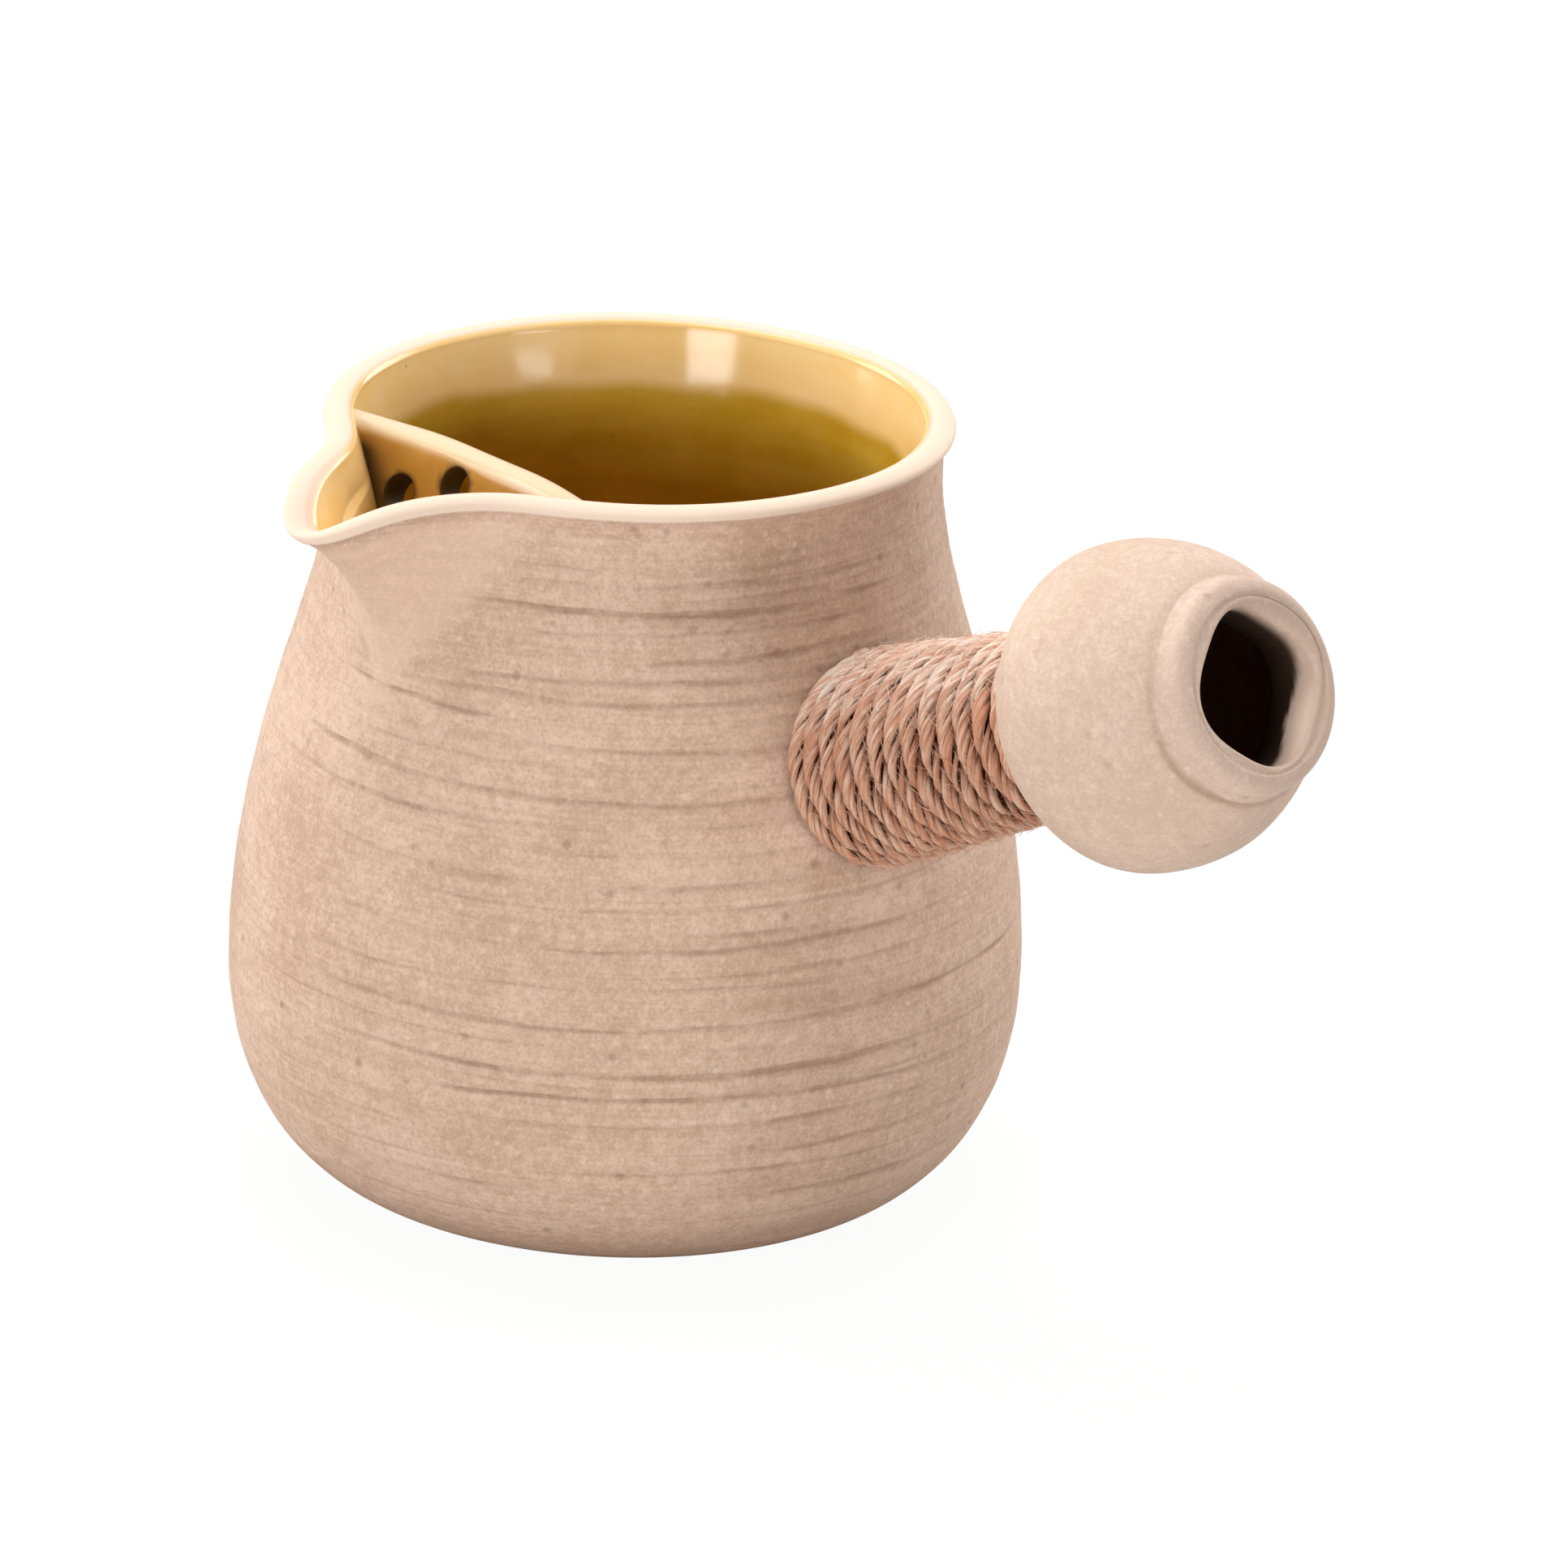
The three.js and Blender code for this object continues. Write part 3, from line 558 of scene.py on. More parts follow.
def strainer_surface(pot, wall):
    """The pierced wall before its holes: rings round its section, which has a round top, strung along the chord;
    thicker near both ends, where the glaze pools, to a width that grows with the depth."""
    along_share = np.sin(np.linspace(-math.pi / 2, math.pi / 2, 72))[:, None]
    share = along_share * 0.995
    half = wall.thickness / 2
    face = half + (wall.depth - 1.5 * MM - half) * np.linspace(0, 1, 44) ** 1.1
    bend = np.linspace(math.pi, 0, 15)[1:-1]
    depth = np.concatenate([face[::-1], half - half * np.sin(bend), face])[None, :]
    side = np.concatenate([-np.ones(44), np.cos(bend), np.ones(44)])[None, :]
    chord = strainer_half(pot, wall, depth)
    rest = (1 - np.abs(share)) * chord
    thick = half + 1.3 * MM * np.exp(-rest / (1.5 * MM)) * smooth(depth, 0, 3 * MM)
    stand = strainer_stand(wall, share, depth) + side * thick
    reach = outer_radius(pot, pot.height - wall.drop - depth) - pot.wall * 0.75
    held = np.minimum(1, reach / np.hypot(stand, share * chord))
    out, along = strainer_axes(pot, wall)
    height = pot.height - wall.drop - depth - 0.18 * MM * (0.5 + 0.5 * np.sin(7 * share + 1))
    points = ((stand * held)[..., None] * out + (share * chord * held)[..., None] * along
              + height[..., None] * UP)
    top_rest = (1 - np.abs(along_share)) * wall.half_chord
    # Darker near both ends where the strainer meets the pot's wall, more so with depth
    pool = (1 - smooth(top_rest, 3.2 * MM + 0.45 * depth, 5.2 * MM + 1.1 * depth)) * smooth(depth, 1.2 * MM, 3.4 * MM)
    return points, pool


def strainer_drills(pot, wall):
    """The holes as flared plugs: each is turned from a profile that widens towards both faces of the wall, and
    leans with it. Given with the centre and the axis of each."""
    out, along = strainer_axes(pot, wall)
    turns = wall.ring_turn + FULL_TURN / wall.holes * np.arange(wall.holes)
    aside = np.concatenate([[0], wall.hole_ring * np.cos(turns)]) + wall.aside
    depth = wall.below - np.concatenate([[0], wall.hole_ring * np.sin(turns)])
    through = np.array([-4.2, -2.1, -1.72, -1.35, -0.9, 0.9, 1.35, 1.72, 2.1, 4.2])[:, None, None] * MM
    flare = np.array([0.6, 0.45, 0.24, 0.07, 0.0, 0.0, 0.07, 0.24, 0.45, 0.6]) * MM
    radius = (wall.hole / 2 + flare)[:, None, None]
    turn = np.linspace(0, FULL_TURN, 36, endpoint=False)[None, :, None]
    step = 0.2 * MM
    plugs = []
    for place, deep in zip(aside, depth):
        share = place / strainer_half(pot, wall, deep)
        stand = strainer_stand(wall, share, deep)
        lean = (strainer_stand(wall, share, deep + step) - stand) / step
        axis = out + lean * UP
        axis = axis / np.linalg.norm(axis)
        centre = stand * out + place * along + (pot.height - wall.drop - deep) * UP
        circle = np.cos(turn) * along + np.sin(turn) * np.cross(along, axis)
        plugs.append((surface("drill", centre + through * axis + radius * circle, True), centre, axis))
    return plugs


# The handle

def handle_frame(handle):
    """The handle's origin, its direction, and the two directions across it."""
    ahead = np.array([math.cos(handle.tilt), 0, math.sin(handle.tilt)])
    up = np.array([-math.sin(handle.tilt), 0, math.cos(handle.tilt)])
    return handle.anchor * UP, ahead, np.array([0, 1.0, 0]), up


def handle_points(handle, distance, radius, angles):
    """Points round the handle's line at given distances along it."""
    origin, ahead, side, up = handle_frame(handle)
    return (origin + distance[..., None] * ahead + (radius * np.cos(angles))[..., None] * side
            + (radius * np.sin(angles))[..., None] * up)


def round_angles(steps):
    """Even angles round the handle."""
    return np.linspace(0, FULL_TURN, steps, endpoint=False)[None, :]


def way(steps):
    """Shares of a way, in a column, without its start."""
    return np.linspace(0, 1, steps)[1:, None]


def stem_radius(handle, distance):
    """The stem's radius, which shrinks evenly from root to tip."""
    share = (distance - handle.root) / (handle.tip - handle.root)
    return handle.root_radius + (handle.tip_radius - handle.root_radius) * clamp(share, -0.3, 1.1)


def stem_surface(handle):
    """The hollow stem as one closed tube: out along the outer face and back along the inner one, starting in the
    pot's clay, where its end follows the wall's round, and ending in the bulb's."""
    foot, pot_round = 43.0 * MM, 45.2 * MM
    angles = round_angles(96)
    ahead = np.linspace(foot, handle.tip + 1.0 * MM, 40)[:, None]
    back = ahead[::-1]
    outer = stem_radius(handle, ahead) - 0.4 * MM + 0.06 * MM * waves(31, (2, 3, 5), angles)
    inner = stem_radius(handle, back) - handle.stem_wall + 0 * angles
    distance = by_part([outer, inner], [ahead, back])
    radius = np.vstack([outer, inner])
    sunk = np.abs(np.sqrt(clamp(1 - (radius * np.cos(angles) / pot_round) ** 2)) * pot_round - pot_round)
    distance = np.where(distance < foot + 0.1 * MM, distance - sunk * 0.9, distance)
    return handle_points(handle, distance, radius, angles)


def bulb_surface(handle):
    """The hollow bulb as one closed surface: two half ellipses of unlike length make the outer profile, and the
    same two, a wall's thickness smaller, the inner one. The hand's pressure leaves it slightly out of round, and
    a bell-shaped crease runs round the collar with the clay pushed up beside it."""
    size = handle.bulb_radius
    small = size - handle.bulb_wall
    stem_hole, collar_hole = 9.3 / 19.35, 11.2 / 19.35
    inner_collar_hole, inner_stem_hole = 10.0 * MM / small, 6.0 * MM / small
    crease_radius, ridge_radius = 13.25 * MM, 14.1 * MM
    back = np.linspace(math.asin(stem_hole), math.pi / 2, 46)[:, None]
    front = np.linspace(0, math.acos(collar_hole), 60)[1:, None]
    in_front = np.linspace(math.acos(inner_collar_hole), 0, 24)[:, None]
    in_back = np.linspace(math.pi / 2, math.asin(inner_stem_hole), 24)[1:, None]
    distance = np.vstack([handle.bulb - handle.bulb_back * np.cos(back),
                          handle.bulb + handle.bulb_front * np.sin(front),
                          handle.bulb + (handle.bulb_front - handle.bulb_wall) * np.sin(in_front),
                          handle.bulb - (handle.bulb_back - handle.bulb_wall) * np.cos(in_back)])
    line = np.vstack([size * np.sin(back), size * np.cos(front), small * np.cos(in_front), small * np.sin(in_back)])
    rows = np.arange(len(line))[:, None]
    outer_rows = len(back) + len(front)
    angles = round_angles(192)
    dent = 0.10 * MM * (1 + waves(51, (2, 3, 4), angles + (distance - handle.bulb) / (14 * MM)))
    faint = 0.012 * MM * (1 + np.sin(distance / (0.8 * MM) + waves(52, (1, 2, 3), angles)))
    line = line - (dent + faint) * smooth(line, 10 * MM, 13 * MM)
    by_collar = (rows > len(back) + 14) & (rows < outer_rows)
    near = 0.15 + 0.85 * patch(angles, -128, 1.05)
    crease = bell(line - crease_radius - 0.15 * MM * waves(53, (2, 3, 5), angles), 0.34 * MM) * by_collar * near
    ridge = bell(line - ridge_radius, 0.42 * MM) * by_collar * (near - 0.15)
    distance = distance - 0.34 * MM * crease + 0.15 * MM * ridge
    # inside: painted shade on the hollow's inner face and, a little, in the crease round the collar
    return handle_points(handle, distance, line, angles), {"inside": (rows >= outer_rows - 3) + 0.45 * crease}


def mouth_edge(handle, angles):
    """The cut mouth's radius: a mean circle with soft corners, shifted a little to one side."""
    return (handle.mouth_radius + handle.mouth_rise * np.cos(handle.mouth_corners * (angles - handle.mouth_turn))
            + handle.mouth_shift * np.cos(angles - handle.shift_turn))


def collar_surface(handle):
    """The collar as one closed ring: a soft fillet up from the bulb, a rolled edge, a gently hollowed face, a
    chamfer, and the knife-cut mouth running back into the bulb. Deep in the mouth the clay has painted shade, but
    for a painted highlight on the lit facet on the side where the knife went in, and the face has painted shade in
    its upper part."""
    angles = round_angles(192)
    face = handle.collar_end
    outer = handle.collar_radius
    rolled = handle.collar_round
    start, inner_end = 107.2 * MM, 103.2 * MM
    trim, fillet, hollow, widening = 0.1 * MM, 0.6 * MM, 0.18 * MM, 0.5 * MM
    edge = mouth_edge(handle, angles)
    uneven = waves(61, (1, 2, 3, 5), angles)
    worn = patch(angles, 48, 0.70)
    # cut: the side of the mouth where the lit facet is; it places the painted highlight
    cut = patch(angles, -38, 0.62)
    chamfer = 0.42 * MM + 1.5 * MM * worn
    flank = np.linspace(0, 1, 18)[:, None]
    bend, into, turn_in, deep, back = way(14) * (math.pi / 2), way(10), way(8) * (math.pi / 2), way(14), way(6)
    radii = [
        outer - trim + fillet * (1 - flank) ** 1.6 + trim * uneven,
        outer - trim - rolled + rolled * np.cos(bend) + trim * uneven * (1 - np.sin(bend)),
        (outer - rolled) + (edge + chamfer - (outer - rolled)) * into,
        edge + chamfer * (1 - np.sin(turn_in)),
        edge + widening * deep ** 2 - 0.25 * MM * worn * np.sin(deep * math.pi),
        edge + widening + (outer + fillet - edge) * back,
    ]
    distance = by_part(radii, [
        start + (face - rolled - start) * flank ** 0.9,
        face - rolled + rolled * np.sin(bend),
        face - hollow * np.sin(into * math.pi),
        face - chamfer * (1 - np.cos(turn_in)),
        face - chamfer - (face - chamfer - inner_end) * deep,
        inner_end + (start - 1.2 * MM - inner_end) * back,
    ])
    radius = np.vstack(radii)
    shade = (1.3 + 3.3 * cut) * MM
    # Painted shade deep in the mouth, starting less deep on the lit facet's side
    deep_mouth_shade = smooth(face - distance, shade, shade + (2.2 - 1.9 * cut) * MM) * (radius < edge + 1.0 * MM)
    # pale: a painted highlight on the mouth's lit facet
    pale = cut * (radius < edge + 0.35 * MM) * (1 - deep_mouth_shade) * smooth(face - distance, 0.1 * MM, 0.7 * MM)
    # Painted shade on the face's upper part
    upper_face_shade = smooth(distance, face - 1.3 * MM, face - 0.3 * MM) * (0.06 + 0.10 * patch(angles, 50, 1.2))
    return handle_points(handle, distance, radius, angles), {"inside": np.maximum(deep_mouth_shade, upper_face_shade), "pale": pale}


# The twine

def winding_line(pot, handle, twine):
    """The twine's middle line and the directions along it, away from the stem and across: it turns round the
    stem at an even pitch, starting along the pot's wall and ending along the bulb's back, and blends from the one
    to the other by a power of the way."""
    steps_a_turn = 120
    off_wall, into_bulb, bulb_seat = 1.1 * MM, 1.45 * MM, 9.5 * MM
    turned = np.linspace(0, twine.turns * FULL_TURN, int(twine.turns * steps_a_turn))
    angles = twine.start + turned
    reach = handle.root_radius + twine.bedding + 1.3 * MM
    first = handle.root + 0 * angles
    # The start is moved along the handle, a little less each time, until it meets the pot's wall
    for _ in range(12):
        at = handle_points(handle, first, reach, angles)
        first = first + (outer_radius(pot, at[:, 2]) - np.hypot(at[:, 0], at[:, 1]))
    lean = bulb_seat / handle.bulb_radius
    last = handle.bulb - handle.bulb_back * math.sqrt(1 - lean ** 2) - into_bulb
    blend = (turned / turned[-1]) ** 1.08
    distance = (first + off_wall) * (1 - blend) + last * blend
    wander = 0.13 * MM * np.sin(turned * 2.3 + 1) + 0.09 * MM * np.sin(turned * 5.1)
    line = handle_points(handle, distance + wander, stem_radius(handle, distance) + twine.bedding, angles)
    side, up = handle_frame(handle)[2:]
    outward = np.cos(angles)[:, None] * side + np.sin(angles)[:, None] * up
    tangent = unit(np.gradient(line, axis=0))
    outward = unit(outward - (outward * tangent).sum(1, keepdims=True) * tangent)
    return line, tangent, outward, np.cross(tangent, outward)


def underside_shade_mask(outward):
    """1 on the winding's sides and underside, and 0 on its top: the mask of the painted shade there."""
    return 1 - smooth(outward[..., 2], 0.15, 0.8)


def strand_pieces(name, twine, line, outward, across):
    """The strands of the twine: each is a round tube of uneven thickness whose middle circles the twine's line
    once in each lay, so that the strands lie against each other. Each keeps how far it has run and the place
    round it, and how far a point stands out from the twine's middle."""
    run = np.concatenate([[0], np.cumsum(np.linalg.norm(np.diff(line, axis=0), axis=1))])
    ratio = 1 / math.sin(math.pi / twine.plies)
    strand = twine.diameter / 2 / (1 + ratio)
    centre = strand * ratio
    turn = np.linspace(0, FULL_TURN, 7, endpoint=False)[None, :]
    pieces = []
    for ply in range(twine.plies):
        random = np.random.default_rng(70 + ply)
        phase = (run / twine.lay * FULL_TURN + ply * FULL_TURN / twine.plies
                 + 0.25 * np.sin(run / (37 * MM) + ply) + 0.2 * np.sin(run / (7 * MM) + 2.1 * ply))
        middle = line + centre * (np.cos(phase)[:, None] * outward + np.sin(phase)[:, None] * across)
        slub = (1.04 + 0.20 * np.sin(run / (5.3 * MM) + random.uniform(0, 6))
                + 0.14 * np.sin(run / (2.1 * MM) + 2.4 * ply))
        size = (strand * 1.16 * slub)[:, None]
        points = middle[:, None] + size[..., None] * (np.cos(turn)[..., None] * outward[:, None]
                                                      + np.sin(turn)[..., None] * across[:, None])
        place = turn - phase[:, None]
        lay = np.stack([(run + ply)[:, None] + 0 * turn, size * np.cos(place), size * np.sin(place)], -1)
        # depth drives painted shade between the strands in the material
        depth = (np.cos(phase)[:, None] * centre + size * np.cos(turn)) / (twine.diameter / 2)
        # Painted shade: the winding's underside is made to count as lying deeper
        depth = depth - 0.10 * (1 - outward[:, 2:])
        under = underside_shade_mask(outward)[:, None] + 0 * turn
        pieces.append(surface(name, points, True, {"lay": lay, "depth": depth, "under": under}))
    return pieces


def join(pieces):
    """One piece of several."""
    bpy.ops.object.select_all(action="DESELECT")
    for piece in pieces:
        piece.select_set(True)
    bpy.context.view_layer.objects.active = pieces[0]
    if len(pieces) > 1:
        bpy.ops.object.join()
    return pieces[0]


def hair_piece(name, twine, line, tangent, outward, across):
    """Loose fibres: thin three-sided tubes that leave the twine's outer side and bend over along it, all made at
    once as arrays of roots, directions and lengths, and tapering to a point. They count as standing out fully,
    with a lay that differs from fibre to fibre."""
    random = np.random.default_rng(9)
    total = twine.hairs
    index = random.integers(40, len(line) - 40, total)
    swing = random.uniform(-1.4, 1.4, total)[:, None]
    away = np.cos(swing) * outward[index] + np.sin(swing) * across[index]
    root = line[index] + away * twine.diameter * 0.42
    ahead = tangent[index] * random.choice([-1, 1], total)[:, None]
    ahead = ahead + 0.75 * across[index] * random.normal(0, 1, total)[:, None]
    size = random.uniform(0.8, 3.4, total)[:, None] * MM
    size = size * np.where(np.arange(total) % 40 == 0, 1.9, 1.0)[:, None]
    lift = (random.uniform(0.05, 0.75, total) ** 1.6)[:, None]
    steps = np.linspace(0, 1, 6)
    step = steps[None, :, None]
    spine = root[:, None] + (step * size[:, None]) * (ahead[:, None] * (0.45 + 0.5 * step)
                                                      + away[:, None] * lift[:, None] * (1.2 - 0.8 * step))
    turn = np.linspace(0, FULL_TURN, 3, endpoint=False)[None, None, :, None]
    ring = np.cos(turn) * away[:, None, None] + np.sin(turn) * across[index][:, None, None]
    thick, tapered = 0.075 * MM, 0.8
    points = spine[:, :, None] + (thick * (1 - tapered * steps))[None, :, None, None] * ring

    rings, sides = points.shape[1:3]
    first = np.arange(total)[:, None, None] * rings * sides
    row = first + np.arange(rings - 1)[None, :, None] * sides
    quads = ring_quads(row, row + sides, sides)
    low = (first[:, 0] + np.arange(sides))[:, ::-1]
    high = first[:, 0] + (rings - 1) * sides + np.arange(sides)
    corners = np.concatenate([quads.ravel(), low.ravel(), high.ravel()])
    sizes = np.concatenate([np.full(len(quads), 4), np.full(2 * total, sides)])
    mesh = smooth_mesh(name, points.reshape(-1, 3), corners, sizes)
    fibre = np.repeat(np.arange(total), rings * sides)
    keep_on(mesh, "lay", fibre[:, None] * np.array([0.0031, 0, 0]))
    keep_on(mesh, "depth", np.ones(len(fibre)))
    # The fibres take the painted shade of the winding's underside too
    keep_on(mesh, "under", underside_shade_mask(outward[index])[fibre])
    return place_in_scene(name, mesh)


# Materials

def linear(tone):
    """A colour given as it looks on the screen, from 0 to 255, as the shader wants it."""
    value = np.array(tone) / 255
    low = value / 12.92
    high = ((value + 0.055) / 1.055) ** 2.4
    return (*np.where(value <= 0.04045, low, high).tolist(), 1.0)


class Nodes:
    """A node tree with short words for what the materials need; all but add give a node's result."""

    def __init__(self, tree):
        self.tree = tree

    def add(self, kind, settings=None, **inputs):
        """A node with its settings, and its sockets set to values or linked; _0 is the first socket."""
        made = self.tree.nodes.new(kind)
        for key, value in (settings or {}).items():
            setattr(made, key, value)
        for key, value in inputs.items():
            socket = made.inputs[int(key[1:])] if key[0] == "_" else made.inputs[key]
            if isinstance(value, bpy.types.NodeSocket):
                self.tree.links.new(value, socket)
            else:
                socket.default_value = value
        return made

    def maths(self, operation, *values):
        """The result of a calculation with numbers."""
        return self.add("ShaderNodeMath", {"operation": operation},
                        **{f"_{place}": value for place, value in enumerate(values)}).outputs[0]

    plus = partialmethod(maths, "ADD")
    minus = partialmethod(maths, "SUBTRACT")
    times = partialmethod(maths, "MULTIPLY")

    def mix(self, factor, first, second, blend="MIX"):
        """A mix of two colours."""
        return self.add("ShaderNodeMix", {"data_type": "RGBA", "blend_type": blend},
                        _0=factor, _6=first, _7=second).outputs[2]

    def tint(self, colour, mask, tone, share=None):
        """The colour turned to another tone where the mask is 1, or by a share of that."""
        return self.mix(mask if share is None else self.times(mask, share), colour, linear(tone))

    def spread(self, value, low, high, start=0.0, end=1.0):
        """A value carried softly from one range to another."""
        return self.add("ShaderNodeMapRange", {"interpolation_type": "SMOOTHSTEP"},
                        _0=value, _1=low, _2=high, _3=start, _4=end).outputs[0]

    def noise(self, vector, scale, detail, roughness):
        """A cloudy pattern."""
        return self.add("ShaderNodeTexNoise", Vector=vector, Scale=scale, Detail=detail, Roughness=roughness).outputs[0]

    def stretch(self, vector, *scale):
        """A position stretched by a factor in each direction."""
        return self.add("ShaderNodeMapping", Vector=vector, Scale=scale).outputs[0]

    def specks(self, vector, scale, middle, edge, channel, above):
        """Round specks: 1 near the middle of some of a pattern's cells, picked by one channel of their colour."""
        cells = self.add("ShaderNodeTexVoronoi", Vector=vector, Scale=scale)
        pick = self.add("ShaderNodeSeparateColor", Color=cells.outputs["Color"]).outputs[channel]
        near = self.spread(cells.outputs["Distance"], middle, edge, 1.0, 0.0)
        return self.times(near, self.maths("GREATER_THAN", pick, above))

    def attribute(self, name, output="Fac"):
        """A number or a vector kept on the mesh."""
        return self.add("ShaderNodeAttribute", {"attribute_name": name}).outputs[output]


def shader_group(name, build, amounts, results):
    """The node group of that name, made the first time. A position and some amounts go in; build gives the
    results, which are plain numbers, in their order."""
    known = bpy.data.node_groups.get(name)
    if known:
        return known
    group = bpy.data.node_groups.new(name, "ShaderNodeTree")
    sockets = group.interface
    sockets.new_socket(name="Vector", in_out="INPUT", socket_type="NodeSocketVector")
    for label in amounts:
        sockets.new_socket(name=label, in_out="INPUT", socket_type="NodeSocketFloat").default_value = 1.0
    for label in results:
        sockets.new_socket(name=label, in_out="OUTPUT", socket_type="NodeSocketFloat")
    entry = group.nodes.new("NodeGroupInput")
    result = group.nodes.new("NodeGroupOutput")
    for label, socket in zip(results, build(Nodes(group), entry.outputs)):
        group.links.new(socket, result.inputs[label])
    return group


def sandy_clay(nodes, entry):
    """Sandy clay: a mottled tone, dark and pale specks, fine throwing lines, and the height of all of them."""
    place = entry["Vector"]
    fine = nodes.noise(place, 2300.0, 3.0, 0.62)
    medium = nodes.noise(place, 740.0, 3.0, 0.6)
    broad = nodes.noise(place, 62.0, 3.0, 0.55)
    lines = nodes.noise(nodes.stretch(place, 26.0, 26.0, 1900.0), 1.0, 2.0, 0.55)
    tone = nodes.plus(nodes.times(fine, 0.34), nodes.times(medium, 0.30))
    tone = nodes.plus(tone, nodes.times(broad, 0.26))
    streak = nodes.times(lines, nodes.times(entry["Lines"], 0.15))
    tone = nodes.plus(tone, streak)
    dark = nodes.specks(place, 420.0, 0.10, 0.34, 0, 0.90)
    pale = nodes.specks(place, 760.0, 0.12, 0.42, 1, 0.82)
    height = nodes.times(nodes.plus(nodes.times(fine, 0.55), medium), entry["Grain"])
    height = nodes.plus(height, nodes.times(lines, nodes.times(entry["Lines"], 0.8)))
    height = nodes.minus(height, nodes.times(dark, 0.5))
    return tone, dark, pale, height, nodes.spread(medium, 0.3, 0.7, 0.62, 0.86)


def runny_glaze(nodes, entry):
    """Runny glaze: a tone that varies in streaks, tiny dark pin-pricks, and the ripples of its skin."""
    place = entry["Vector"]
    runs = nodes.noise(nodes.stretch(place, 30.0, 30.0, 260.0), 1.0, 3.0, 0.5)
    cloud = nodes.noise(place, 90.0, 4.0, 0.6)
    tone = nodes.plus(nodes.times(runs, 0.45), nodes.times(cloud, 0.55))
    pricks = nodes.specks(place, 520.0, 0.05, 0.22, 0, 0.975)
    height = nodes.minus(nodes.noise(place, 240.0, 2.0, 0.5), nodes.times(pricks, 0.8))
    return tone, pricks, height, nodes.spread(cloud, 0.3, 0.7, 0.08, 0.17)


def bare_material(name):
    """A material with only its shader and its output."""
    made = bpy.data.materials.new(name)
    made.use_nodes = True
    tree = made.node_tree
    tree.nodes.clear()
    shader = tree.nodes.new("ShaderNodeBsdfPrincipled")
    output = tree.nodes.new("ShaderNodeOutputMaterial")
    tree.links.new(shader.outputs[0], output.inputs[0])
    return made, Nodes(tree), shader, output


# The strength of a material's relief and its depth in millimetres
CLAY_RELIEF = (0.6, 0.14)
GLAZE_RELIEF = (0.25, 0.09)
FIBRE_RELIEF = (1.0, 0.22)


def material(name, build, gloss, relief, **looks):
    """The material of that name, made the first time: build gives its colour, its roughness and its height."""
    known = bpy.data.materials.get(name)
    if known:
        return known
    made, nodes, shader, _ = bare_material(name)
    place = nodes.add("ShaderNodeTexCoord").outputs["Object"]
    colour, rough, height = build(nodes, place, **looks)
    strength, depth = relief
    bump = nodes.add("ShaderNodeBump", Strength=strength, Distance=depth * MM, Height=height)
    for label, socket in (("Base Color", colour), ("Roughness", rough), ("Normal", bump.outputs[0])):
        nodes.tree.links.new(socket, shader.inputs[label])
    shader.inputs["Specular IOR Level"].default_value = gloss
    return made


def clay(nodes, place, low, high, grain, lines, specks):
    """Unglazed clay between a darker and a paler tone, with specks."""
    group = shader_group("Sandy Clay", sandy_clay, ("Grain", "Lines"),
                         ("Tone", "Dark Specks", "Pale Specks", "Height", "Roughness"))
    sandy = nodes.add("ShaderNodeGroup", {"node_tree": group}, Vector=place, Grain=grain, Lines=lines).outputs
    colour = nodes.mix(nodes.spread(sandy["Tone"], 0.39, 0.66), linear(low), linear(high))
    colour = nodes.tint(colour, sandy["Dark Specks"], (128, 92, 70), specks)
    colour = nodes.tint(colour, sandy["Pale Specks"], (240, 218, 196), 0.4)
    return colour, sandy["Roughness"], sandy["Height"]


def thrown_clay(nodes, place):
    """The pot's clay: painted shade in the broken ring grooves and towards the foot, paler and smoother in the pouch,
    and cream on the lip, with an uneven border."""
    colour, rough, relief = clay(nodes, place, (198, 163, 138), (231, 200, 177), 1.0, 1.0, 0.35)
    broken = nodes.noise(nodes.stretch(place, 110.0, 110.0, 300.0), 1.0, 3.0, 0.6)
    broken = nodes.spread(broken, 0.38, 0.60, 0.24, 0.56)
    groove = nodes.times(nodes.spread(nodes.attribute("groove"), 0.35, 1.1), broken)
    # Painted shade in the broken ring grooves
    colour = nodes.tint(colour, groove, (142, 104, 80))
    rim = nodes.attribute("rim")
    cloud = nodes.noise(place, 170.0, 3.0, 0.6)
    rim = nodes.spread(nodes.plus(rim, nodes.times(nodes.minus(cloud, 0.5), 0.35)), 0.25, 0.75)
    colour = nodes.tint(colour, rim, (244, 219, 197))
    # Painted shade towards the foot
    colour = nodes.tint(colour, nodes.attribute("foot"), (166, 124, 98), 0.45)
    pouch = nodes.attribute("pouch")
    relief = nodes.times(relief, nodes.minus(1.0, nodes.maths("MAXIMUM", rim, nodes.times(pouch, 0.5))))
    return nodes.tint(colour, pouch, (234, 202, 179), 0.5), rough, relief


def handle_clay(nodes, place, low, high, grain, lines, specks, dark):
    """The paler clay of bulb and collar, with painted shade in the hollow, the crease and the mouth, and a painted
    highlight on the mouth's lit facet.
    """
    colour, rough, relief = clay(nodes, place, low, high, grain, lines, specks)
    # Painted shade: the clay is turned to the dark tone where inside is 1
    colour = nodes.tint(colour, nodes.attribute("inside"), dark)
    # The pale tone is a painted highlight on the mouth's lit facet
    return nodes.tint(colour, nodes.attribute("pale"), (252, 224, 203)), rough, relief


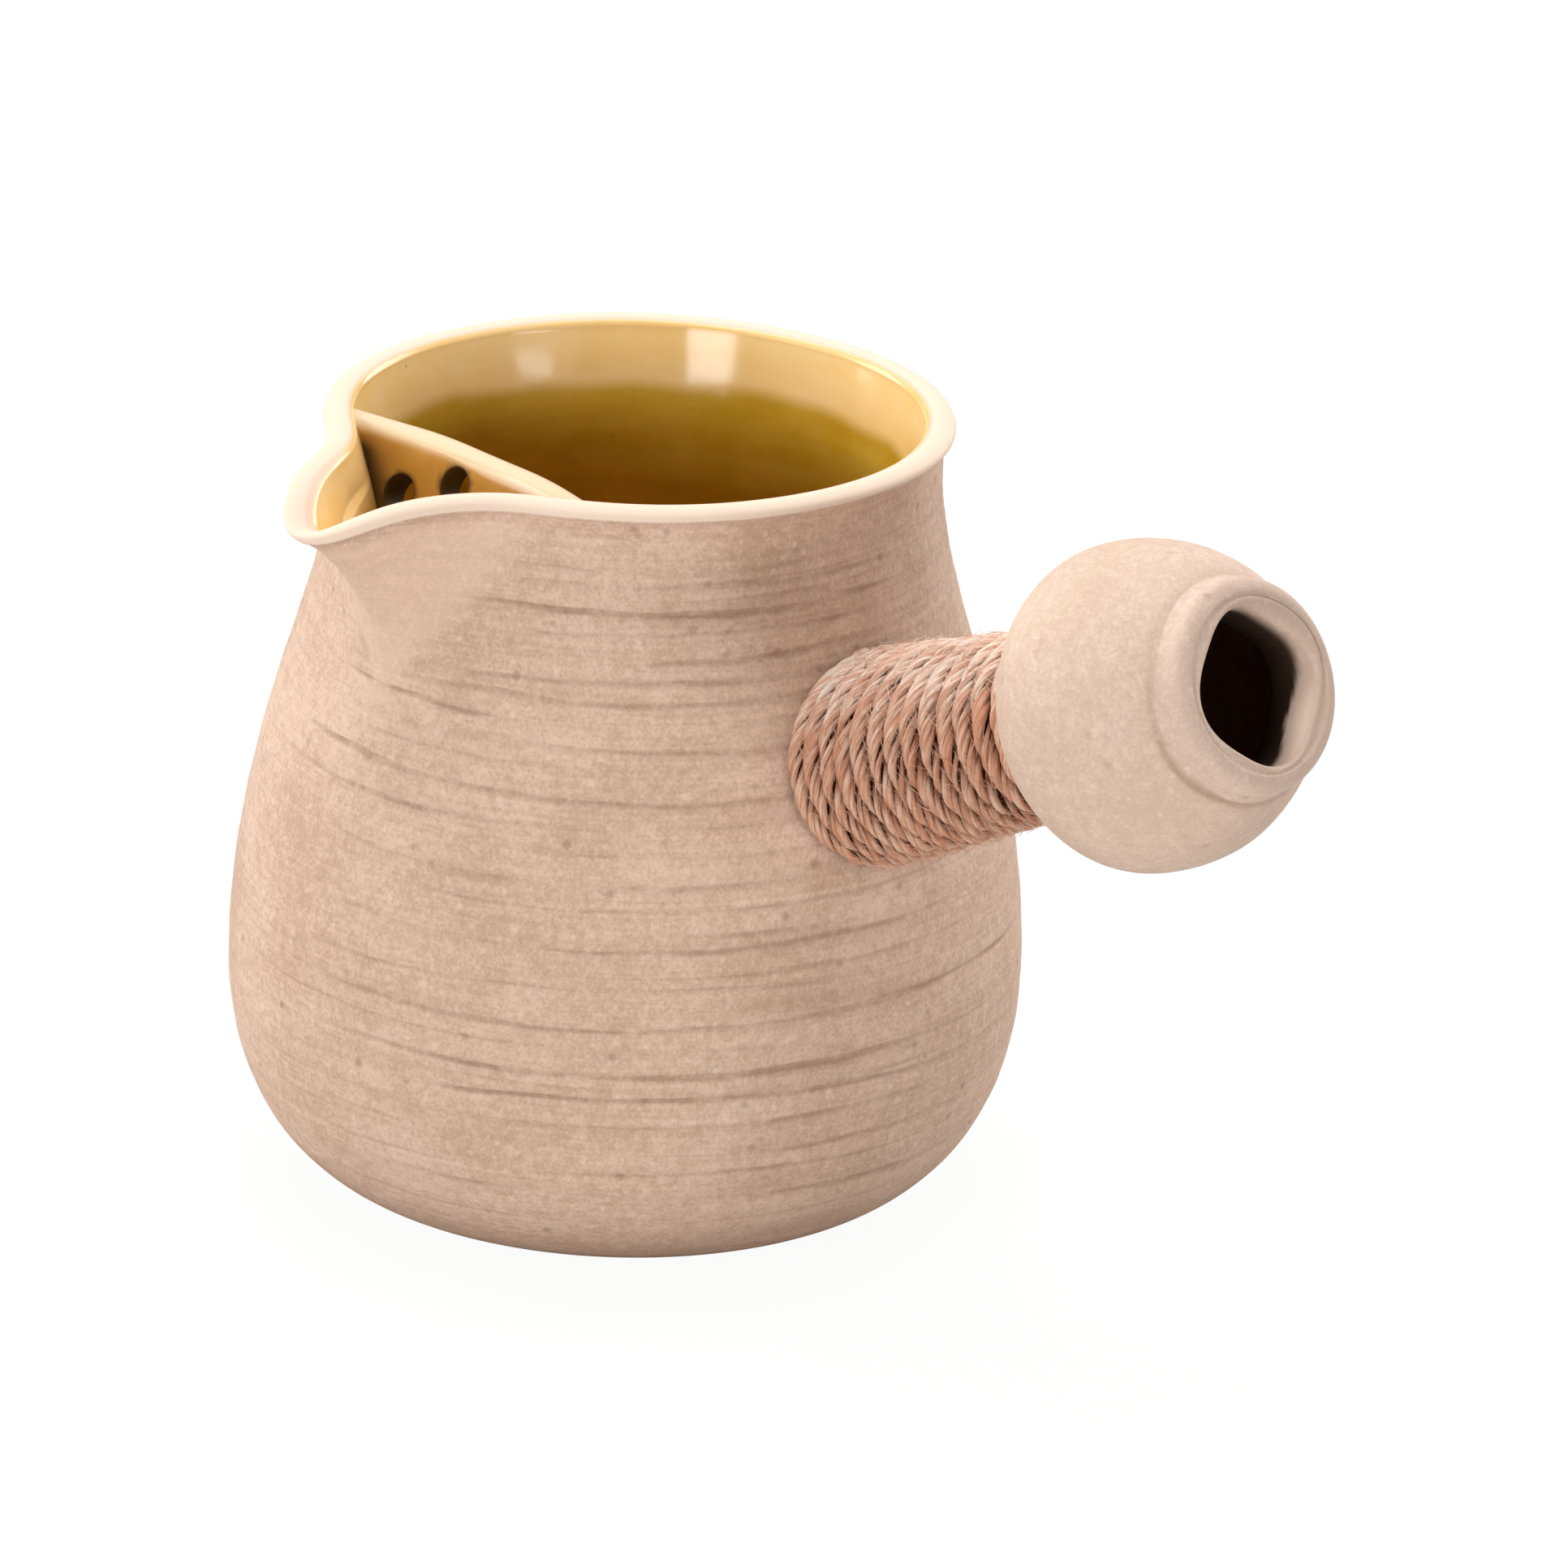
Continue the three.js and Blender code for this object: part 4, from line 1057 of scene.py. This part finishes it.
def amber(nodes, place, deep, layers, worn, worn_rough):
    """Amber glaze between two deep tones, turned to other tones in layers, each where a value kept on the mesh
    says so, and rougher in the worn layer. A layer has one tone, or two like the glaze itself."""
    group = shader_group("Runny Glaze", runny_glaze, (), ("Tone", "Pricks", "Height", "Roughness"))
    glaze = nodes.add("ShaderNodeGroup", {"node_tree": group}, Vector=place).outputs
    tone = nodes.spread(glaze["Tone"], 0.35, 0.65)
    colour = nodes.mix(tone, *map(linear, deep))
    masks = {}
    for name, tones in layers:
        other = nodes.mix(tone, *map(linear, tones)) if len(tones) == 2 else linear(*tones)
        masks[name] = nodes.attribute(name)
        colour = nodes.mix(masks[name], colour, other)
    colour = nodes.tint(colour, glaze["Pricks"], (90, 58, 14), 0.3)
    return colour, nodes.plus(glaze["Roughness"], nodes.times(masks[worn], worn_rough)), glaze["Height"]


def plied_fibre(nodes, place):
    """Plied fibre: long fine fibres along each strand, with painted shade between the strands, so that they are paler
    where they stand out, and painted shade on the winding's sides and underside."""
    lay = nodes.attribute("lay", "Vector")
    fine = nodes.noise(nodes.stretch(lay, 380.0, 4200.0, 4200.0), 1.0, 3.0, 0.6)
    slow = nodes.noise(nodes.stretch(lay, 150.0, 900.0, 900.0), 1.0, 2.0, 0.5)
    tone = nodes.plus(nodes.times(fine, 0.6), nodes.times(slow, 0.4))
    colour = nodes.mix(nodes.spread(tone, 0.40, 0.60), linear((226, 172, 142)), linear((255, 240, 224)))
    # Painted shade between the strands
    low = nodes.spread(nodes.attribute("depth"), 0.0, 0.86, 1.0, 0.0)
    colour = nodes.tint(colour, low, (132, 76, 46), 0.92)
    # Painted shade on the winding's sides and underside
    colour = nodes.mix(nodes.attribute("under"), colour, linear((234, 210, 195)), "MULTIPLY")
    return colour, nodes.spread(fine, 0.3, 0.7, 0.55, 0.85), fine


def stoneware():
    """The darker sandy clay of pot and stem."""
    return material("stoneware clay", thrown_clay, 0.28, CLAY_RELIEF)


def twine_fibre():
    """The fibre of the twine and of its loose ends."""
    return material("twine fibre", plied_fibre, 0.2, FIBRE_RELIEF)


def floor_material():
    """A white floor: seen straight on it is mostly lit evenly, so that only the soft shadow shows on it."""
    made, nodes, shader, output = bare_material("white floor")
    shader.inputs["Base Color"].default_value = (0.62, 0.62, 0.62, 1)
    shader.inputs["Roughness"].default_value = 0.9
    shader.inputs["Specular IOR Level"].default_value = 0.1
    glow = nodes.add("ShaderNodeEmission", Color=(1, 1, 1, 1), Strength=1.05)
    ray = nodes.add("ShaderNodeLightPath").outputs["Is Camera Ray"]
    share = nodes.times(ray, 0.9)
    both = nodes.add("ShaderNodeMixShader", _0=share, _1=shader.outputs[0], _2=glow.outputs[0])
    nodes.tree.links.new(both.outputs[0], output.inputs[0])
    return made


# Operators, one for each piece or group of like pieces

class TEAPOT_OT_body(bpy.types.Operator):
    """Builds the thrown clay wall with its lip and spout"""

    bl_idname = "teapot.body"
    bl_label = "Clay body"

    def execute(self, context):
        piece = surface("body_clay", *body_surface(context.scene.teapot_pot))
        dress(piece, stoneware(), "stoneware", "pot_body")
        return {"FINISHED"}


class TEAPOT_OT_glaze(bpy.types.Operator):
    """Builds the glaze coat inside the pot and in the spout"""

    bl_idname = "teapot.glaze"
    bl_label = "Glaze coat"

    def execute(self, context):
        piece = surface("glaze_coat", *glaze_surface(context.scene.teapot_pot))
        # The pale tones of the upper band are partly thin glaze and partly painted light
        looks = material("amber glaze", amber, 0.38, GLAZE_RELIEF, deep=((200, 155, 36), (216, 172, 62)),
                         layers=(("thin", ((252, 208, 132), (255, 218, 154))), ("bare", ((241, 209, 186),))),
                         worn="bare", worn_rough=0.5)
        dress(piece, looks, "amber_glaze", "glaze_lining")
        return {"FINISHED"}


class TEAPOT_OT_strainer(bpy.types.Operator):
    """Builds the pierced wall behind the spout"""

    bl_idname = "teapot.strainer"
    bl_label = "Strainer wall"

    def execute(self, context):
        pot = context.scene.teapot_pot
        wall = context.scene.teapot_strainer
        points, pool = strainer_surface(pot, wall)
        piece = surface("strainer_plate", points, True, {"pool": pool})
        drills = strainer_drills(pot, wall)
        for drill, centre, axis in drills:
            cut = piece.modifiers.new("hole", "BOOLEAN")
            cut.operation = "DIFFERENCE"
            cut.solver = "EXACT"
            cut.object = drill
        mesh = bpy.data.meshes.new_from_object(piece.evaluated_get(context.evaluated_depsgraph_get()))
        piece.modifiers.clear()
        piece.data = mesh
        mesh.name = "strainer_plate"
        if len(mesh.polygons) < 100:
            raise RuntimeError("the strainer's holes could not be cut")
        place = np.empty(len(mesh.vertices) * 3, np.float32)
        mesh.vertices.foreach_get("co", place)
        place = place.reshape(-1, 3)
        pool = np.empty(len(place), np.float32)
        mesh.attributes["pool"].data.foreach_get("value", pool)
        for drill, centre, axis in drills:
            away = place - centre
            radius = np.linalg.norm(away - (away @ axis)[:, None] * axis, axis=1)
            # Painted shade in the bores of the holes, with the same dark tone as the ends
            pool = np.maximum(pool, 1 - smooth(radius, wall.hole / 2 + 0.22 * MM, wall.hole / 2 + 0.70 * MM))
            bpy.data.objects.remove(drill)
        keep_on(mesh, "pool", pool)
        keep_on(mesh, "edge", 1 - smooth(pot.height - wall.drop - place[:, 2], 0.5 * MM, 2.0 * MM))
        mesh.set_sharp_from_angle(angle=math.radians(50))
        # The dark layer: darker glaze at the wall's ends, and painted shade in the holes
        looks = material("strainer glaze", amber, 0.22, GLAZE_RELIEF, deep=((172, 122, 48), (196, 146, 72)),
                         layers=(("pool", ((70, 48, 10),)), ("edge", ((240, 216, 182),))),
                         worn="pool", worn_rough=0.6)
        dress(piece, looks, "glazed_strainer", "strainer_wall")
        return {"FINISHED"}


class TEAPOT_OT_handle(bpy.types.Operator):
    """Builds the hollow stem, the bulb and its collar"""

    bl_idname = "teapot.handle"
    bl_label = "Handle clay"

    def execute(self, context):
        handle = context.scene.teapot_handle
        stem = surface("stem_clay", stem_surface(handle))
        points, values = bulb_surface(handle)
        bulb = surface("bulb_clay", points, values=values)
        points, values = collar_surface(handle)
        collar = surface("collar_clay", points, values=values)
        dress(stem, stoneware(), "stoneware", "handle_stem")
        # The dark tones are the painted shade inside the bulb and in the collar's mouth
        wiped = material("pale stoneware clay", handle_clay, 0.5, CLAY_RELIEF, low=(212, 182, 160),
                         high=(234, 207, 186), grain=0.5, lines=0.5, specks=0.15, dark=(126, 86, 58))
        dress(bulb, wiped, "pale_stoneware", "handle_bulb")
        rougher = material("collar clay", handle_clay, 0.4, CLAY_RELIEF, low=(216, 187, 167),
                           high=(240, 217, 200), grain=0.9, lines=0.1, specks=0.25, dark=(58, 38, 24))
        dress(collar, rougher, "pale_stoneware", "mouth_collar")
        return {"FINISHED"}


class TEAPOT_OT_twine(bpy.types.Operator):
    """Builds the plied twine wound round the stem and its loose fibres"""

    bl_idname = "teapot.twine"
    bl_label = "Twine winding"

    def execute(self, context):
        twine = context.scene.teapot_twine
        line, tangent, outward, across = winding_line(context.scene.teapot_pot, context.scene.teapot_handle, twine)
        winding = join(strand_pieces("twine_winding", twine, line, outward, across))
        dress(winding, twine_fibre(), "twine", "twine_wrap")
        fuzz = hair_piece("twine_fuzz", twine, line, tangent, outward, across)
        dress(fuzz, twine_fibre(), "twine", "twine_wrap")
        return {"FINISHED"}


# The lamps: name, place, width and the setting with their power
LAMPS = (
    ("key", (0.36, -1.13, 0.34), 0.42, "key"),
    ("fill", (1.12, -0.16, 0.30), 0.36, "fill"),
    ("low", (1.10, 0.02, 0.11), 0.30, "low"),
    ("top", (-0.20, 0.10, 1.00), 0.8, "top"),
    ("rim left", (-0.98, -0.42, 0.42), 0.6, "rims"),
    ("rim right", (0.06, 1.06, 0.50), 0.6, "rims"),
)
LAMP_TARGET = Vector((0.01, 0, 0.05))
CAMERA_PLACE = (1.0493, -1.0029, 0.5831)
CAMERA_AHEAD = (-0.6702, 0.6570, -0.3453)
CAMERA_RIGHT = (0.70005, 0.71409, 0)
FLOOR_HALF = 6.0


def add_floor():
    """The white floor under the pot."""
    mesh = bpy.data.meshes.new("floor")
    corners = [(-1, -1), (1, -1), (1, 1), (-1, 1)]
    mesh.from_pydata([(FLOOR_HALF * x, FLOOR_HALF * y, 0) for x, y in corners], [], [(0, 1, 2, 3)])
    mesh.materials.append(floor_material())
    place_in_scene("floor", mesh)


def add_lamps(stage):
    """The square lamps, all turned to the pot."""
    for name, place, width, power in LAMPS:
        light = bpy.data.lights.new(name, "AREA")
        light.shape = "SQUARE"
        light.size = width
        light.energy = getattr(stage, power)
        lamp = place_in_scene(name, light)
        lamp.location = place
        lamp.rotation_euler = (LAMP_TARGET - Vector(place)).to_track_quat("-Z", "Y").to_euler()


def add_world(scene, stage):
    """The light from all round, which the camera sees as plain white."""
    scene.world = bpy.data.worlds.new("studio")
    scene.world.use_nodes = True
    nodes = Nodes(scene.world.node_tree)
    nodes.tree.nodes.clear()
    ray = nodes.add("ShaderNodeLightPath").outputs["Is Camera Ray"]
    around = nodes.add("ShaderNodeBackground", Color=(1, 1, 1, 1), Strength=stage.ambient)
    seen = nodes.add("ShaderNodeBackground", Color=(1, 1, 1, 1), Strength=1.0)
    both = nodes.add("ShaderNodeMixShader", _0=ray, _1=around.outputs[0], _2=seen.outputs[0])
    nodes.add("ShaderNodeOutputWorld", _0=both.outputs[0])


def add_camera(scene, stage):
    """The camera of the photo, rolled a little round its line of sight."""
    data = bpy.data.cameras.new("camera")
    data.lens = stage.lens
    data.sensor_width = 36
    data.clip_start = 0.01
    ahead = Vector(CAMERA_AHEAD).normalized()
    right = Vector(CAMERA_RIGHT).normalized()
    up = right.cross(ahead)
    rolled_right = math.cos(stage.roll) * right + math.sin(stage.roll) * up
    rolled_up = -math.sin(stage.roll) * right + math.cos(stage.roll) * up
    rotation = Matrix((rolled_right, rolled_up, -ahead)).transposed().to_4x4()
    scene.camera = place_in_scene("camera", data)
    scene.camera.matrix_world = Matrix.Translation(CAMERA_PLACE) @ rotation


class TEAPOT_OT_stage(bpy.types.Operator):
    """Sets up the floor, the studio light and the camera"""

    bl_idname = "teapot.stage"
    bl_label = "Stage"

    def execute(self, context):
        scene = context.scene
        scene.view_settings.view_transform = "Standard"
        add_floor()
        add_lamps(scene.teapot_stage)
        add_world(scene, scene.teapot_stage)
        add_camera(scene, scene.teapot_stage)
        return {"FINISHED"}


class TEAPOT_PT_panel(bpy.types.Panel):
    """Lists the teapot's pieces in the sidebar"""

    bl_idname = "TEAPOT_PT_panel"
    bl_label = "Side-handled teapot"
    bl_space_type = "VIEW_3D"
    bl_region_type = "UI"
    bl_category = "Teapot"

    def draw(self, context):
        for operator in OPERATORS:
            self.layout.operator(operator.bl_idname)


SETTINGS = (("teapot_pot", PotSettings), ("teapot_strainer", StrainerSettings), ("teapot_handle", HandleSettings),
            ("teapot_twine", TwineSettings), ("teapot_stage", StageSettings))
OPERATORS = (TEAPOT_OT_body, TEAPOT_OT_glaze, TEAPOT_OT_strainer, TEAPOT_OT_handle, TEAPOT_OT_twine, TEAPOT_OT_stage)


def register():
    """Adds the classes and the scene's settings."""
    for name, group in SETTINGS:
        bpy.utils.register_class(group)
        setattr(bpy.types.Scene, name, PointerProperty(type=group))
    for operator in OPERATORS:
        bpy.utils.register_class(operator)
    bpy.utils.register_class(TEAPOT_PT_panel)


def unregister():
    """Removes them again."""
    bpy.utils.unregister_class(TEAPOT_PT_panel)
    for operator in reversed(OPERATORS):
        bpy.utils.unregister_class(operator)
    for name, group in reversed(SETTINGS):
        delattr(bpy.types.Scene, name)
        bpy.utils.unregister_class(group)


def main():
    """Builds every piece and the stage."""
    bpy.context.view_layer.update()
    register()
    bpy.ops.teapot.body()
    bpy.ops.teapot.glaze()
    bpy.ops.teapot.strainer()
    bpy.ops.teapot.handle()
    bpy.ops.teapot.twine()
    bpy.ops.teapot.stage()


if __name__ == "__main__":
    main()
